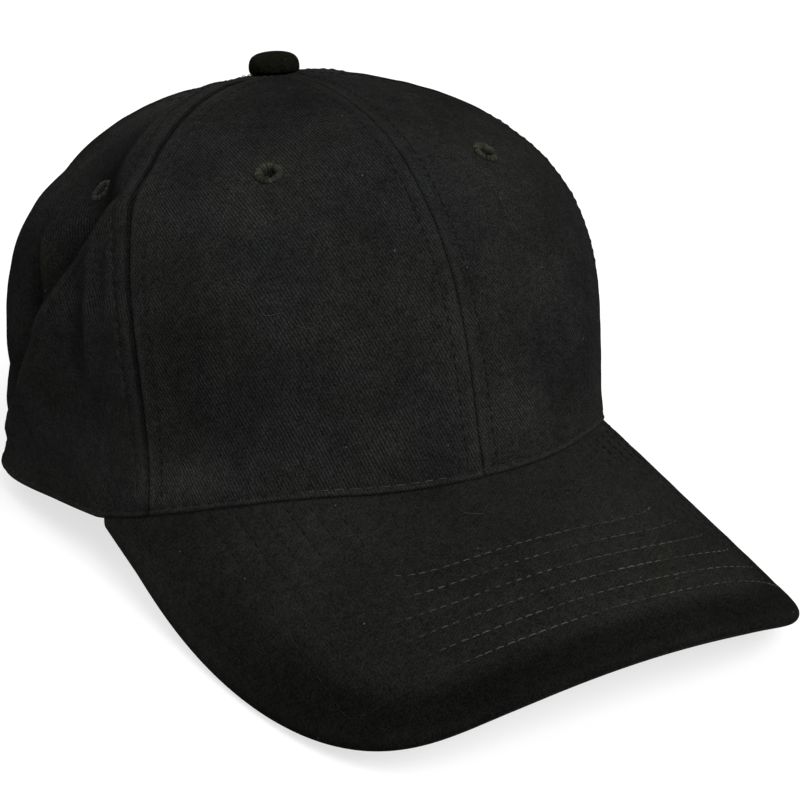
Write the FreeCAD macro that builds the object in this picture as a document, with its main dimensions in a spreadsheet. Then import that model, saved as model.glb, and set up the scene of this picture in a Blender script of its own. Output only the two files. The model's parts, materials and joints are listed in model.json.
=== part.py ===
"""Six-panel baseball cap with a curved visor, sweatband and clasp strap.

Working frame: origin at the middle of the hem's ring, +X the wearer's left, -Y the front (visor),
+Z up the crown. Angles run round the ring from the front (0) towards the wearer's left (+90).
"Rise" runs up the crown from the hem (0) to the top (1). "Depth" is the distance inwards from a
cloth's outer face. At the end every piece gets the same rest placement: the cap is pitched until
it stands on the two low points of its visor and on the rear of its hem, and the origin moves to
the floor below the middle of its footprint.
"""
import FreeCAD, Part
import math
import os
import Sketcher
from FreeCAD import Placement, Rotation, Vector

SIZES = {
    # hem ring, in plan
    "ring_front_reach": 102.6, "ring_back_reach": 99.2, "ring_half_width": 84.8,
    "ring_front_power": 0.945,
    # crown
    "crown_height": 116.2, "crown_top_back": 6.5, "top_hole_rise": 0.974,
    "front_seam_angle": 62.2, "rear_seam_angle": 117.2, "seam_lean": 0.8, "seam_bow": -2.5,
    "hem_flare": 0.137, "hem_flare_angle": 115.7, "hem_flare_spread": 20.6, "hem_clearance": 0.45,
    "panel_thickness": 1.2, "seam_gap": 0.2,
    # stiffener and seam tapes
    "buckram_depth": 1.3, "buckram_thickness": 0.7, "buckram_seam_inset": 1.0,
    "buckram_low_rise": 0.02, "buckram_high_rise": 0.92,
    "tape_depth": 2.15, "tape_thickness": 0.6, "tape_width": 10.0, "tape_top_radius": 11.5,
    "tape_arch_gap": 1.0,
    # visor
    "visor_pitch": 21.9, "visor_arch_radius": 229.4, "visor_side_radius": 59.9,
    "visor_arch_half_width": 36.1, "visor_length": 71.1, "visor_width": 164.4,
    "visor_end_angle": 76.8, "visor_corner_power": 6.54, "visor_front_power": 0.434,
    "visor_corner_place": 0.575, "visor_side_part": 0.15, "visor_end_trim": 0.015,
    "visor_cloth_thickness": 0.9,
    "visor_board_thickness": 2.0, "visor_layer_gap": 0.05, "visor_board_inset": 2.2,
    # sweatband and label
    "sweatband_height": 32.0, "sweatband_thickness": 1.4, "sweatband_front_depth": 4.3,
    "sweatband_rear_depth": 6.1, "sweatband_end_angle": 146.0, "sweatband_hem_overlap": 2.0,
    "sweatband_overlap_end": 60.0, "sweatband_deeper_start": 90.0, "sweatband_deeper_end": 115.0,
    "lining_depth": 3.0, "lining_thickness": 1.1, "lining_end_angle": 72.0, "lining_height": 28.0,
    "label_angle": 118.0, "label_width": 24.0, "label_thickness": 0.4, "label_gap": 0.2,
    "label_low_share": 0.3, "label_high_share": 0.9,
    # eyelets
    "eyelet_radius": 4.1, "eyelet_hole_radius": 1.5, "eyelet_barrel_radius": 2.7,
    "eyelet_flange": 0.6, "eyelet_stand": 0.2, "eyelet_fit": 0.1, "eyelet_punch_reach": 12.3,
    # top button
    "button_radius": 7.8, "button_height": 6.8, "button_round": 3.1, "button_cloth": 0.8,
    "button_shell_wall": 0.6, "button_fit": 0.1, "rivet_radius": 2.0, "rivet_head_radius": 4.5,
    "rivet_head_height": 1.2, "backing_radius": 9.0, "backing_height": 1.0, "backing_depth": 2.5,
    # rear opening and its binding
    "arch_radius": 42.0, "arch_centre_height": 5.0, "arch_leg_below": 10.0, "arch_tape_depth": 1.3,
    "arch_tape_thickness": 0.7, "arch_tape_width": 8.0,
    # strap
    "strap_radius": 73.0, "strap_centre_back": 22.6, "strap_height": 20.0, "strap_thickness": 1.6,
    "strap_low_edge": 2.6, "strap_root_angle": 46.0, "strap_tail_angle": 58.0,
    # clasp buckle and the tab that holds it
    "buckle_angle": 22.0, "buckle_half_length": 9.0, "buckle_plate": 1.2, "buckle_plate_drop": 2.4,
    "buckle_side_gap": 0.4, "buckle_side_back": 3.6, "buckle_side_height": 3.6,
    "buckle_bar": 1.6, "buckle_slot": 2.8,
    "pin_radius": 0.8, "pin_fit": 0.05, "pin_place": 6.2, "pin_height": 2.3, "pin_stand": 0.3,
    "knuckle_radius": 1.4, "lever_length": 15.4, "lever_thickness": 1.1, "lever_side_gap": 0.3,
    "tab_width": 18.0, "tab_cloth": 0.7, "tab_fit": 0.1, "tab_gap": 0.25, "tab_end_angle": 43.0,
    "tab_start_gap": 0.3,
    # rest pose on a table
    "rest_pitch": 7.8,
}

doc = FreeCAD.newDocument("baseball_cap")
sheet = doc.addObject("Spreadsheet::Sheet", "sizes")
for row_number, (alias, value) in enumerate(SIZES.items(), start=1):
    sheet.set(f"A{row_number}", alias)
    sheet.set(f"B{row_number}", str(value))
    sheet.setAlias(f"B{row_number}", alias)
doc.recompute()


def size(alias):
    return float(sheet.get(alias))


def size_angle(alias):
    return math.radians(size(alias))


# ---------------------------------------------------------------- shape of the crown and visor

# Height profiles of the crown: how far each of the four control steps leans in (lean), how high
# it stands (lift), and how wide the shoulder below the top is, at the front, the side and the back.
PROFILES = {
    "low_lean": (-0.051, -0.038, -0.001),
    "low_lift": (0.286, 0.337, 0.290),
    "high_lean": (-0.012, 0.291, -0.011),
    "high_lift": (0.763, 0.666, 0.739),
    "shoulder": (0.585, 0.694, 0.555),
}
SEAM_ANGLES = {
    "front_centre": 0.0,
    "front_side": size_angle("front_seam_angle"),
    "rear_side": size_angle("rear_seam_angle"),
    "rear_centre": math.pi,
}


def mix(low, high, share):
    return low + (high - low) * share


def smooth_step(value, low, high):
    share = min(max((value - low) / (high - low), 0.0), 1.0)
    return share * share * (3.0 - 2.0 * share)


def signed_power(value, power):
    return math.copysign(abs(value) ** power, value)


def ring_point(angle):
    """Point of the hem's outer edge in plan."""
    front = math.cos(angle) > 0
    power = size("ring_front_power") if front else 1.0
    reach = size("ring_front_reach") if front else size("ring_back_reach")
    return (size("ring_half_width") * signed_power(math.sin(angle), power),
            -reach * signed_power(math.cos(angle), power))


def visor_slope(across):
    """Sideways slope angle of the visor's arch at a distance from its centre line."""
    half = size("visor_arch_half_width")
    if abs(across) < half:
        return math.asin(across / size("visor_arch_radius"))
    run = abs(across) - half + size("visor_side_radius") * half / size("visor_arch_radius")
    return math.copysign(math.asin(min(run / size("visor_side_radius"), 1.0)), across)


def visor_drop(across):
    """How far the arch has dropped there: a wide arc in the middle, a tight arc at each side."""
    slope = abs(visor_slope(across))
    half = size("visor_arch_half_width")
    if abs(across) < half:
        return size("visor_arch_radius") * (1 - math.cos(slope))
    join = math.asin(half / size("visor_arch_radius"))
    middle = size("visor_arch_radius") * (1 - math.cos(join))
    return middle + size("visor_side_radius") * (math.cos(join) - math.cos(slope))


def visor_height(angle):
    """Height at which the visor's face meets the hem, above the hem's front centre."""
    across, back = ring_point(angle)
    pitch = size_angle("visor_pitch")
    return math.tan(pitch) * (back + size("ring_front_reach")) - visor_drop(across) / math.cos(pitch)


def from_front(angle):
    """Unsigned angle from the front, 0 to pi."""
    return abs((angle + math.pi) % (2 * math.pi) - math.pi)


def hem_height(angle):
    """The hem follows the visor's arch at the front and lies flat behind it."""
    end = size_angle("visor_end_angle")
    return visor_height(min(from_front(angle), end)) - visor_height(end)


def profile_value(name, angle):
    front, side, back = PROFILES[name]
    toward = front if math.cos(angle) > 0 else back
    return mix(side, toward, math.cos(angle) ** 2)


def crown_point(angle, rise, flared=True):
    """Point of the crown's outer face: a quartic Bezier profile from the hem to the top."""
    across, back = ring_point(angle)
    low = hem_height(angle)
    if flared:
        off = (from_front(angle) - size_angle("hem_flare_angle")) / size_angle("hem_flare_spread")
        swell = 1 + size("hem_flare") * math.exp(-off * off) * (1 - rise) ** 6
        across, back = across * swell, back * swell
    rest = 1 - rise
    weights = (rest ** 4, 4 * rise * rest ** 3, 6 * (rise * rest) ** 2, 4 * rise ** 3 * rest, rise ** 4)
    radius = (weights[0] + weights[1] * (1 + profile_value("low_lean", angle))
              + weights[2] * (1 + profile_value("high_lean", angle))
              + weights[3] * profile_value("shoulder", angle))
    height = (weights[1] * profile_value("low_lift", angle)
              + weights[2] * profile_value("high_lift", angle) + weights[3] + weights[4])
    return Vector(across * radius,
                  size("crown_top_back") * (1 - radius) + back * radius,
                  low + (size("crown_height") - low) * height)


def crown_normal(angle, rise, flared=True):
    step = 0.004
    low, high = max(rise - step, 0.0), min(rise + step, 0.999)
    along = crown_point(angle + step, rise, flared) - crown_point(angle - step, rise, flared)
    up = crown_point(angle, high, flared) - crown_point(angle, low, flared)
    return along.cross(up).normalize()


def crown_radius(angle, rise):
    point = crown_point(angle, rise)
    return math.hypot(point.x, point.y - size("crown_top_back"))


def seam_angle(name, rise):
    """A left-hand seam's angle: side seams lean and bow on their way up, centre seams don't."""
    base = SEAM_ANGLES[name]
    if name.endswith("centre"):
        return base
    return (base + size_angle("seam_lean") * math.sin(math.pi * rise)
            + size_angle("seam_bow") * math.sin(2 * math.pi * rise))


def find_rise(angle, is_past):
    """Rise at which a condition on the crown's point turns true, by halving."""
    low, high = 0.0, 0.99
    for _ in range(40):
        middle = (low + high) / 2
        if is_past(middle):
            high = middle
        else:
            low = middle
    return high


# ---------------------------------------------------------------- building helpers

pieces = []


def keep(obj, label, local=Placement()):
    """Names a finished piece and remembers where it sits in the working frame."""
    obj.Label = label
    pieces.append((obj, local))
    return obj


def feature(name, shape):
    obj = doc.addObject("Part::Feature", name)
    obj.Shape = shape
    return obj


def bound(kind, name, expressions, placement=Placement()):
    """A Part primitive with its sizes bound to the sheet."""
    obj = doc.addObject(kind, name)
    for prop, expression in expressions.items():
        obj.setExpression(prop, expression)
    obj.Placement = placement
    return obj


def boolean(kind, name, base, tool):
    obj = doc.addObject(kind, name)
    obj.Base = base
    obj.Tool = tool
    return obj


def face_through(grid):
    surface = Part.BSplineSurface()
    surface.interpolate(grid)
    return surface


def sheet_solid(point_at, across_count, up_count, near, far):
    """Closed solid of a cloth layer. point_at(u, v, depth) gives its points; u, v are 0 to 1."""
    grids = []
    for depth in (near, far):
        grids.append([[point_at(i / (across_count - 1), j / (up_count - 1), depth)
                       for j in range(up_count)] for i in range(across_count)])
    faces = [face_through(grid).toShape() for grid in grids]
    surfaces = [face_through(grid) for grid in grids]
    for side in ("u0", "u1", "v0", "v1"):
        edges = []
        for surface in surfaces:
            first_u, last_u, first_v, last_v = surface.bounds()
            if side[0] == "u":
                curve = surface.uIso(first_u if side[1] == "0" else last_u)
            else:
                curve = surface.vIso(first_v if side[1] == "0" else last_v)
            edges.append(curve.toShape())
        faces.append(Part.makeRuledSurface(edges[0], edges[1]))
    shell = Part.makeShell(faces)
    shell.sewShape()
    solid = Part.makeSolid(shell)
    solid.fix(1e-4, 1e-4, 1e-3)
    if solid.Volume < 0:
        solid.reverse()
    return solid


def crown_layer(angle_at, rises, near, far, counts=(13, 17), flared=True):
    """Layer of the crown between two edges, which angle_at(side, rise) gives for side 0 and 1."""
    def point_at(u, v, depth):
        rise = mix(rises[0], rises[1], v)
        angle = mix(angle_at(0, rise), angle_at(1, rise), u)
        point = crown_point(angle, rise, flared) - crown_normal(angle, rise, flared) * depth
        if rise == 0.0:
            point.z = hem_height(angle) + size("hem_clearance")
        return point
    return sheet_solid(point_at, counts[0], counts[1], near, far)


def lathe(name, outline):
    """PartDesign body turned about Z from corners given as (radius, height) sheet expressions."""
    body = doc.addObject("PartDesign::Body", name)
    sketch = body.newObject("Sketcher::SketchObject", name + "_sketch")
    plane = [item for item in body.Origin.OriginFeatures if item.Role == "XZ_Plane"][0]
    sketch.AttachmentSupport = (plane, [""])
    sketch.MapMode = "FlatFace"
    corners = [Vector(float(sheet.evalExpression(radius)), float(sheet.evalExpression(height)), 0)
               for radius, height in outline]
    count = len(corners)
    for index in range(count):
        sketch.addGeometry(Part.LineSegment(corners[index], corners[(index + 1) % count]))
    for index in range(count):
        sketch.addConstraint(Sketcher.Constraint("Coincident", index, 2, (index + 1) % count, 1))
    for index, expressions in enumerate(outline):
        for kind, axis, expression in zip(("DistanceX", "DistanceY"), ("x", "y"), expressions):
            value = getattr(corners[index], axis)
            if abs(value) < 1e-9:
                axis_line = -2 if axis == "x" else -1
                sketch.addConstraint(Sketcher.Constraint("PointOnObject", index, 1, axis_line))
                continue
            number = sketch.addConstraint(Sketcher.Constraint(kind, -1, 1, index, 1, value))
            sketch.setExpression(f"Constraints[{number}]", expression)
    turned = body.newObject("PartDesign::Revolution", name + "_turned")
    turned.Profile = sketch
    turned.ReferenceAxis = (sketch, ["V_Axis"])
    turned.Angle = 360
    doc.recompute()
    return body


def round_edges(body, name, radius_expression, wanted):
    """PartDesign fillet on the edges of a body for which wanted(edge) is true."""
    base = body.Tip
    names = [f"Edge{number}" for number, edge in enumerate(base.Shape.Edges, 1) if wanted(edge)]
    fillet = body.newObject("PartDesign::Fillet", name)
    fillet.Base = (base, names)
    fillet.setExpression("Radius", radius_expression)
    doc.recompute()
    return fillet


def facing(point, direction):
    """Placement that carries +Z to a direction at a point."""
    return Placement(point, Rotation(Vector(0, 0, 1), direction))


# ---------------------------------------------------------------- crown: panels, stiffener, tapes

# Where each eyelet sits: angle from the front (degrees, plus is the wearer's left) and rise.
EYELETS = {
    "front_left": (25.3, 0.606),
    "front_right": (-34.5, 0.618),
    "side_left": (88.0, 0.620),
    "side_right": (-79.0, 0.628),
    "back_left": (149.0, 0.600),
    "back_right": (-149.0, 0.600),
}
PANEL_SEAMS = {
    "front": ("front_centre", "front_side"),
    "side": ("front_side", "rear_side"),
    "back": ("rear_side", "rear_centre"),
}
SIDES = {"left": 1, "right": -1}


def between_seams(panel, hand, inset):
    """Edges of a panel, or of a layer inset from them; the right-hand one is the mirror image."""
    def angle_at(side, rise):
        along = side if hand > 0 else 1 - side
        angle = seam_angle(PANEL_SEAMS[panel][along], rise)
        trim = inset / crown_radius(angle, rise)
        return hand * (angle + (trim if along == 0 else -trim))
    return angle_at


def eyelet_place(name):
    degrees, rise = EYELETS[name]
    angle = math.radians(degrees)
    return facing(crown_point(angle, rise), crown_normal(angle, rise))


def eyelet_hole(name, layer):
    """Cylinder that clears the eyelet's barrel through one cloth layer."""
    sizes = {"Radius": "sizes.eyelet_barrel_radius + sizes.eyelet_fit",
             "Height": "2 * sizes.eyelet_punch_reach"}
    hole = bound("Part::Cylinder", f"{layer}_hole_{name}", sizes)
    middle = Placement(Vector(0, 0, -size("eyelet_punch_reach")), Rotation())
    hole.Placement = eyelet_place(name) * middle
    return hole


def arch_prism(name, grow):
    """Prism of the rear opening's outline, a half round on short upright legs, grown sideways."""
    radius = f"sizes.arch_radius + {grow}"
    depth = "sizes.ring_back_reach"
    front = size("ring_back_reach") / 2
    back = front + size("ring_back_reach")
    centre = size("arch_centre_height")
    round_top = bound("Part::Cylinder", name + "_round", {"Radius": radius, "Height": depth})
    round_top.Placement = Placement(Vector(0, back, centre), Rotation(Vector(1, 0, 0), 90))
    leg_height = f"{centre} + sizes.arch_leg_below"
    legs = bound("Part::Box", name + "_legs", {"Length": f"2 * ({radius})", "Width": depth,
                                               "Height": leg_height})
    legs.Placement.Base = Vector(-float(sheet.evalExpression(radius)), front, -size("arch_leg_below"))
    return boolean("Part::Fuse", name, round_top, legs)


def make_panels():
    for panel in PANEL_SEAMS:
        for side, hand in SIDES.items():
            name = f"{panel}_panel_{side}"
            edges = between_seams(panel, hand, size("seam_gap") / 2)
            cloth = feature(name + "_blank", crown_layer(
                edges, (0.0, size("top_hole_rise")), 0.0, size("panel_thickness")))
            if panel == "back":
                cloth = boolean("Part::Cut", name + "_arched", cloth, arch_prism(name + "_arch", 0))
            hole = eyelet_hole(f"{panel}_{side}", name)
            keep(boolean("Part::Cut", name, cloth, hole), name)


def make_buckram():
    near = size("buckram_depth")
    far = near + size("buckram_thickness")
    rises = (size("buckram_low_rise"), size("buckram_high_rise"))
    for side, hand in SIDES.items():
        name = f"buckram_{side}"
        edges = between_seams("front", hand, size("buckram_seam_inset"))
        blank = feature(name + "_blank", crown_layer(edges, rises, near, far))
        keep(boolean("Part::Cut", name, blank, eyelet_hole(f"front_{side}", name)), name)


def make_seam_tapes():
    near = size("tape_depth")
    far = near + size("tape_thickness")
    arch_top = (size("arch_centre_height") + size("arch_radius") + size("arch_tape_width")
                + size("tape_arch_gap"))
    for seam in SEAM_ANGLES:
        for side, hand in SIDES.items():
            if seam.endswith("centre") and side == "right":
                continue
            middle = SEAM_ANGLES[seam]
            top = find_rise(middle, lambda rise: crown_radius(middle, rise) < size("tape_top_radius"))
            low = size("buckram_low_rise")
            if seam == "rear_centre":
                low = find_rise(middle, lambda rise: crown_point(middle, rise).z > arch_top)

            def edges(edge, rise, seam=seam, hand=hand):
                half = size("tape_width") / 2 / crown_radius(seam_angle(seam, rise), rise)
                return hand * seam_angle(seam, rise) + (2 * edge - 1) * half
            label = f"seam_tape_{seam}" + ("" if seam.endswith("centre") else f"_{side}")
            layer = crown_layer(edges, (low, top), near, far, counts=(5, 17))
            keep(feature(label, layer), label)


def make_arch_tape():
    """Folded tape that binds the rear opening from inside."""
    near = size("arch_tape_depth")
    reach = (size("arch_radius") + 2 * size("arch_tape_width")) / size("ring_half_width")
    half = math.asin(reach)
    high = find_rise(math.pi, lambda rise: crown_point(math.pi, rise).z
                     > size("arch_centre_height") + size("arch_radius") + 2 * size("arch_tape_width"))
    layer = feature("arch_tape_layer", crown_layer(
        lambda side, rise: math.pi + (2 * side - 1) * half, (0.0, high), near,
        near + size("arch_tape_thickness"), counts=(15, 11)))
    border = boolean("Part::Cut", "arch_tape_border", arch_prism("arch_tape_outer", "sizes.arch_tape_width"),
                     arch_prism("arch_tape_inner", "sizes.eyelet_fit"))
    keep(boolean("Part::Common", "arch_tape", layer, border), "arch_tape")


def make_sweatband():
    end = size_angle("sweatband_end_angle")
    high = find_rise(math.pi / 2, lambda rise: crown_point(math.pi / 2, rise).z > size("sweatband_height"))
    start, full = size_angle("sweatband_deeper_start"), size_angle("sweatband_deeper_end")
    added = size("sweatband_rear_depth") - size("sweatband_front_depth")

    def band_point(u, v, depth):
        angle = mix(-end, end, u)
        rise = high * v
        inwards = depth + added * smooth_step(from_front(angle), start, full)
        point = crown_point(angle, rise, False) - crown_normal(angle, rise, False) * inwards
        behind_visor = 1 - smooth_step(from_front(angle), size_angle("sweatband_overlap_end"), start)
        point.z -= size("sweatband_hem_overlap") * (1 - v) * behind_visor
        return point
    near = size("sweatband_front_depth")
    keep(feature("sweatband", sheet_solid(band_point, 61, 7, near, near + size("sweatband_thickness"))),
         "sweatband")

    half = size_angle("lining_end_angle")
    lining_high = high * size("lining_height") / size("sweatband_height")
    near = size("lining_depth")
    keep(feature("sweatband_lining", crown_layer(
        lambda side, rise: (2 * side - 1) * half, (0.0, lining_high), near,
        near + size("lining_thickness"), counts=(31, 7))), "sweatband_lining")

    near = size("sweatband_rear_depth") + size("sweatband_thickness") + size("label_gap")
    half = size("label_width") / 2 / size("ring_half_width")
    keep(feature("care_label", crown_layer(
        lambda side, rise: size_angle("label_angle") + (2 * side - 1) * half,
        (size("label_low_share") * high, size("label_high_share") * high),
        near, near + size("label_thickness"), counts=(7, 5), flared=False)), "care_label")


def make_eyelets():
    for name in EYELETS:
        front = name.startswith("front")
        through = "(sizes.buckram_depth + sizes.buckram_thickness)" if front else "sizes.panel_thickness"
        stand, top = "sizes.eyelet_stand", "sizes.eyelet_stand + sizes.eyelet_flange"
        under = f"-{through} - {stand}"
        bottom = f"{under} - sizes.eyelet_flange"
        hole, barrel, rim = "sizes.eyelet_hole_radius", "sizes.eyelet_barrel_radius", "sizes.eyelet_radius"
        outline = [(hole, top), (rim, top), (rim, stand), (barrel, stand),
                   (barrel, under), (rim, under), (rim, bottom), (hole, bottom)]
        keep(lathe(f"eyelet_{name}", outline), f"eyelet_{name}", eyelet_place(name))


def make_button():
    """Cloth-covered metal button, riveted through the top of the crown to a backing disc."""
    top = Placement(Vector(0, size("crown_top_back"), size("crown_height")), Rotation())
    height, fit = "sizes.button_height", "sizes.button_fit"

    def cap(name, radius, crown, wall, low, rounding):
        outline = [("0", crown), (radius, crown), (radius, low), (f"{radius} - {wall}", low),
                   (f"{radius} - {wall}", f"{crown} - {wall}"), ("0", f"{crown} - {wall}")]
        body = lathe(name, outline)
        outer = float(sheet.evalExpression(radius))
        level = float(sheet.evalExpression(crown))
        thickness = float(sheet.evalExpression(wall))

        def circle_at(edge, wanted_radius, wanted_height):
            return (hasattr(edge.Curve, "Radius") and abs(edge.Curve.Radius - wanted_radius) < 1e-3
                    and abs(edge.BoundBox.ZMax - wanted_height) < 1e-3 and edge.BoundBox.ZLength < 1e-3)
        round_edges(body, name + "_crown", rounding, lambda edge: circle_at(edge, outer, level))
        round_edges(body, name + "_hollow", f"{rounding} - {wall}",
                    lambda edge: circle_at(edge, outer - thickness, level - thickness))
        keep(body, name, top)

    cloth, wall = "sizes.button_cloth", "sizes.button_shell_wall"
    cap("button_cover", "sizes.button_radius", height, cloth, "3 * " + fit, "sizes.button_round")
    cap("button_shell", f"sizes.button_radius - {cloth} - {fit}", f"{height} - {cloth} - {fit}", wall,
        "4 * " + fit, f"sizes.button_round - {cloth} - {fit}")

    head_top = f"{height} - {cloth} - {wall} - 2 * {fit}"
    head_low = f"{head_top} - sizes.rivet_head_height"
    end = "-sizes.backing_depth - sizes.backing_height - " + fit
    shank, head = "sizes.rivet_radius", "sizes.rivet_head_radius"
    keep(lathe("button_rivet", [("0", head_top), (head, head_top), (head, head_low), (shank, head_low),
                                (shank, end), ("0", end)]), "button_rivet", top)
    disc_top, disc_low = "-sizes.backing_depth", "-sizes.backing_depth - sizes.backing_height"
    bore, disc = f"{shank} + {fit}", "sizes.backing_radius"
    keep(lathe("button_backing", [(bore, disc_top), (disc, disc_top), (disc, disc_low), (bore, disc_low)]),
         "button_backing", top)


# ---------------------------------------------------------------- visor

def visor_point(across, along, depth):
    """Point of the visor below its face; along runs forwards from the hem's front centre."""
    slope, pitch = visor_slope(across), size_angle("visor_pitch")
    rise = -visor_drop(across) - depth * math.cos(slope)
    return Vector(across - depth * math.sin(slope),
                  -size("ring_front_reach") - along * math.cos(pitch) - rise * math.sin(pitch),
                  hem_height(0.0) - along * math.sin(pitch) + rise * math.cos(pitch))


def visor_inner(angle):
    """Where the hem meets the visor's face, as (across, along)."""
    across, back = ring_point(angle)
    pitch = size_angle("visor_pitch")
    climb = hem_height(angle) - hem_height(0.0)
    return across, -(back + size("ring_front_reach")) * math.cos(pitch) - climb * math.sin(pitch)


def visor_outer(share):
    """The visor's free edge, for share -1 to 1: straight sides, then a round-cornered front."""
    half = size("visor_width") / 2
    end_across, end_along = visor_inner(size_angle("visor_end_angle"))
    corner = size("visor_corner_place") * end_along
    side_part = size("visor_side_part")
    across_share = min(abs(share) / (1 - side_part), 1.0)
    if across_share < 1.0:
        across = math.sin(across_share * math.pi / 2)
        along = corner + (size("visor_length") - corner) * (
            (1 - across ** size("visor_corner_power")) ** size("visor_front_power"))
        return math.copysign(half * across, share), along
    back_share = (abs(share) - (1 - side_part)) / side_part
    return (math.copysign(mix(half, end_across, back_share), share),
            mix(corner, end_along, back_share))


def visor_layer(near, far, inset=0.0):
    trim = size("visor_end_trim") + inset / size("visor_width")

    def point_at(u, v, depth):
        share = (2 * u - 1) * (1 - 2 * trim)
        inner = visor_inner(share * size_angle("visor_end_angle"))
        outer = visor_outer(share)
        length = math.dist(inner, outer)
        part = mix(inset / length, 1 - inset / length, v)
        return visor_point(mix(inner[0], outer[0], part), mix(inner[1], outer[1], part), depth)
    return sheet_solid(point_at, 49, 7, near, far)


def make_visor():
    cloth, board = size("visor_cloth_thickness"), size("visor_board_thickness")
    gap = size("visor_layer_gap")
    keep(feature("visor_top_cloth", visor_layer(0.0, cloth)), "visor_top_cloth")
    near = cloth + gap
    inset = size("visor_board_inset")
    keep(feature("visor_board", visor_layer(near, near + board, inset)), "visor_board")
    near += board + gap
    keep(feature("visor_under_cloth", visor_layer(near, near + cloth)), "visor_under_cloth")


# ---------------------------------------------------------------- strap and clasp

def strap_frame():
    """The strap's own frame: its bend axis is Z and its lower edge is at Z = 0."""
    return Placement(Vector(0, size("strap_centre_back"), size("strap_low_edge")), Rotation())


def buckle_frame():
    """The clasp's frame, on the strap: X along it to the wearer's left, Y outwards, Z up."""
    turned = Rotation(Vector(0, 0, 1), -size("buckle_angle"))
    out = turned.multVec(Vector(0, size("strap_radius"), size("strap_height") / 2))
    return strap_frame() * Placement(out, turned)


def make_strap():
    half = "sizes.strap_thickness / 2"
    outer = bound("Part::Cylinder", "strap_outer", {
        "Radius": "sizes.strap_radius + " + half, "Height": "sizes.strap_height",
        "Angle": "sizes.strap_root_angle + sizes.strap_tail_angle"})
    inner = bound("Part::Cylinder", "strap_inner", {
        "Radius": "sizes.strap_radius - " + half, "Height": "sizes.strap_height"})
    strap = boolean("Part::Cut", "strap", outer, inner)
    start = Rotation(Vector(0, 0, 1), 90 - size("strap_tail_angle"))
    keep(strap, "strap", strap_frame() * Placement(Vector(), start))


def block(name, low, high):
    """Box between two corners given as triples of sheet expressions."""
    sizes = {prop: f"({b}) - ({a})" for prop, a, b in zip(("Length", "Width", "Height"), low, high)}
    corner = Vector(*(float(sheet.evalExpression(item)) for item in low))
    return bound("Part::Box", name, sizes, Placement(corner, Rotation()))


def make_buckle():
    half = "sizes.strap_height / 2"
    cheek_in = f"{half} + sizes.buckle_side_gap"
    cheek_out = f"{cheek_in} + sizes.buckle_plate"
    length = "sizes.buckle_half_length"
    plate_top = "-sizes.buckle_plate_drop"
    plate_low = f"{plate_top} - sizes.buckle_plate"
    plate = block("buckle_plate_part", (f"-{length}", plate_low, f"-({cheek_out})"),
                  (length, plate_top, cheek_out))
    cheeks = [
        block(f"buckle_cheek_{end}", ("sizes.buckle_side_back", plate_low, low),
              (length, "sizes.buckle_side_height", high))
        for end, low, high in (("top", cheek_in, cheek_out), ("bottom", f"-({cheek_out})", f"-({cheek_in})"))
    ]
    body = doc.addObject("Part::MultiFuse", "buckle_frame_body")
    body.Shapes = [plate] + cheeks
    slot_width = "sizes.tab_width / 2 + sizes.buckle_side_gap"
    slot = block("buckle_slot_part", (f"{length} - sizes.buckle_bar - sizes.buckle_slot", f"{plate_low} - 1",
                                      f"-({slot_width})"),
                 (f"{length} - sizes.buckle_bar", f"{plate_top} + 1", slot_width))
    slotted = boolean("Part::Cut", "buckle_frame_slotted", body, slot)

    pin_low = Vector(size("pin_place"), size("pin_height"), -size("strap_height"))

    def pin_bore(name):
        return bound("Part::Cylinder", name, {"Radius": "sizes.pin_radius + sizes.pin_fit",
                                              "Height": "2 * sizes.strap_height"},
                     Placement(pin_low, Rotation()))
    keep(boolean("Part::Cut", "buckle_frame", slotted, pin_bore("buckle_frame_bore")), "buckle_frame",
         buckle_frame())

    pin_half = float(sheet.evalExpression(f"{cheek_out} + sizes.pin_stand"))
    pin = bound("Part::Cylinder", "buckle_pin", {
        "Radius": "sizes.pin_radius", "Height": f"2 * ({cheek_out} + sizes.pin_stand)"})
    pin_place = Placement(Vector(size("pin_place"), size("pin_height"), -pin_half), Rotation())
    keep(pin, "buckle_pin", buckle_frame() * pin_place)

    lever_half = f"{cheek_in} - sizes.lever_side_gap"
    lever_top = "sizes.pin_height + sizes.knuckle_radius"
    plate = block("lever_plate", ("sizes.pin_place - sizes.lever_length",
                                  f"{lever_top} - sizes.lever_thickness", f"-({lever_half})"),
                  ("sizes.pin_place", lever_top, lever_half))
    knuckle_low = Vector(size("pin_place"), size("pin_height"), -float(sheet.evalExpression(lever_half)))
    knuckle_sizes = {"Radius": "sizes.knuckle_radius", "Height": f"2 * ({lever_half})"}
    knuckle = bound("Part::Cylinder", "lever_knuckle", knuckle_sizes, Placement(knuckle_low, Rotation()))
    lever = boolean("Part::Fuse", "lever_body", plate, knuckle)
    keep(boolean("Part::Cut", "buckle_lever", lever, pin_bore("lever_bore")), "buckle_lever",
         buckle_frame())


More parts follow.
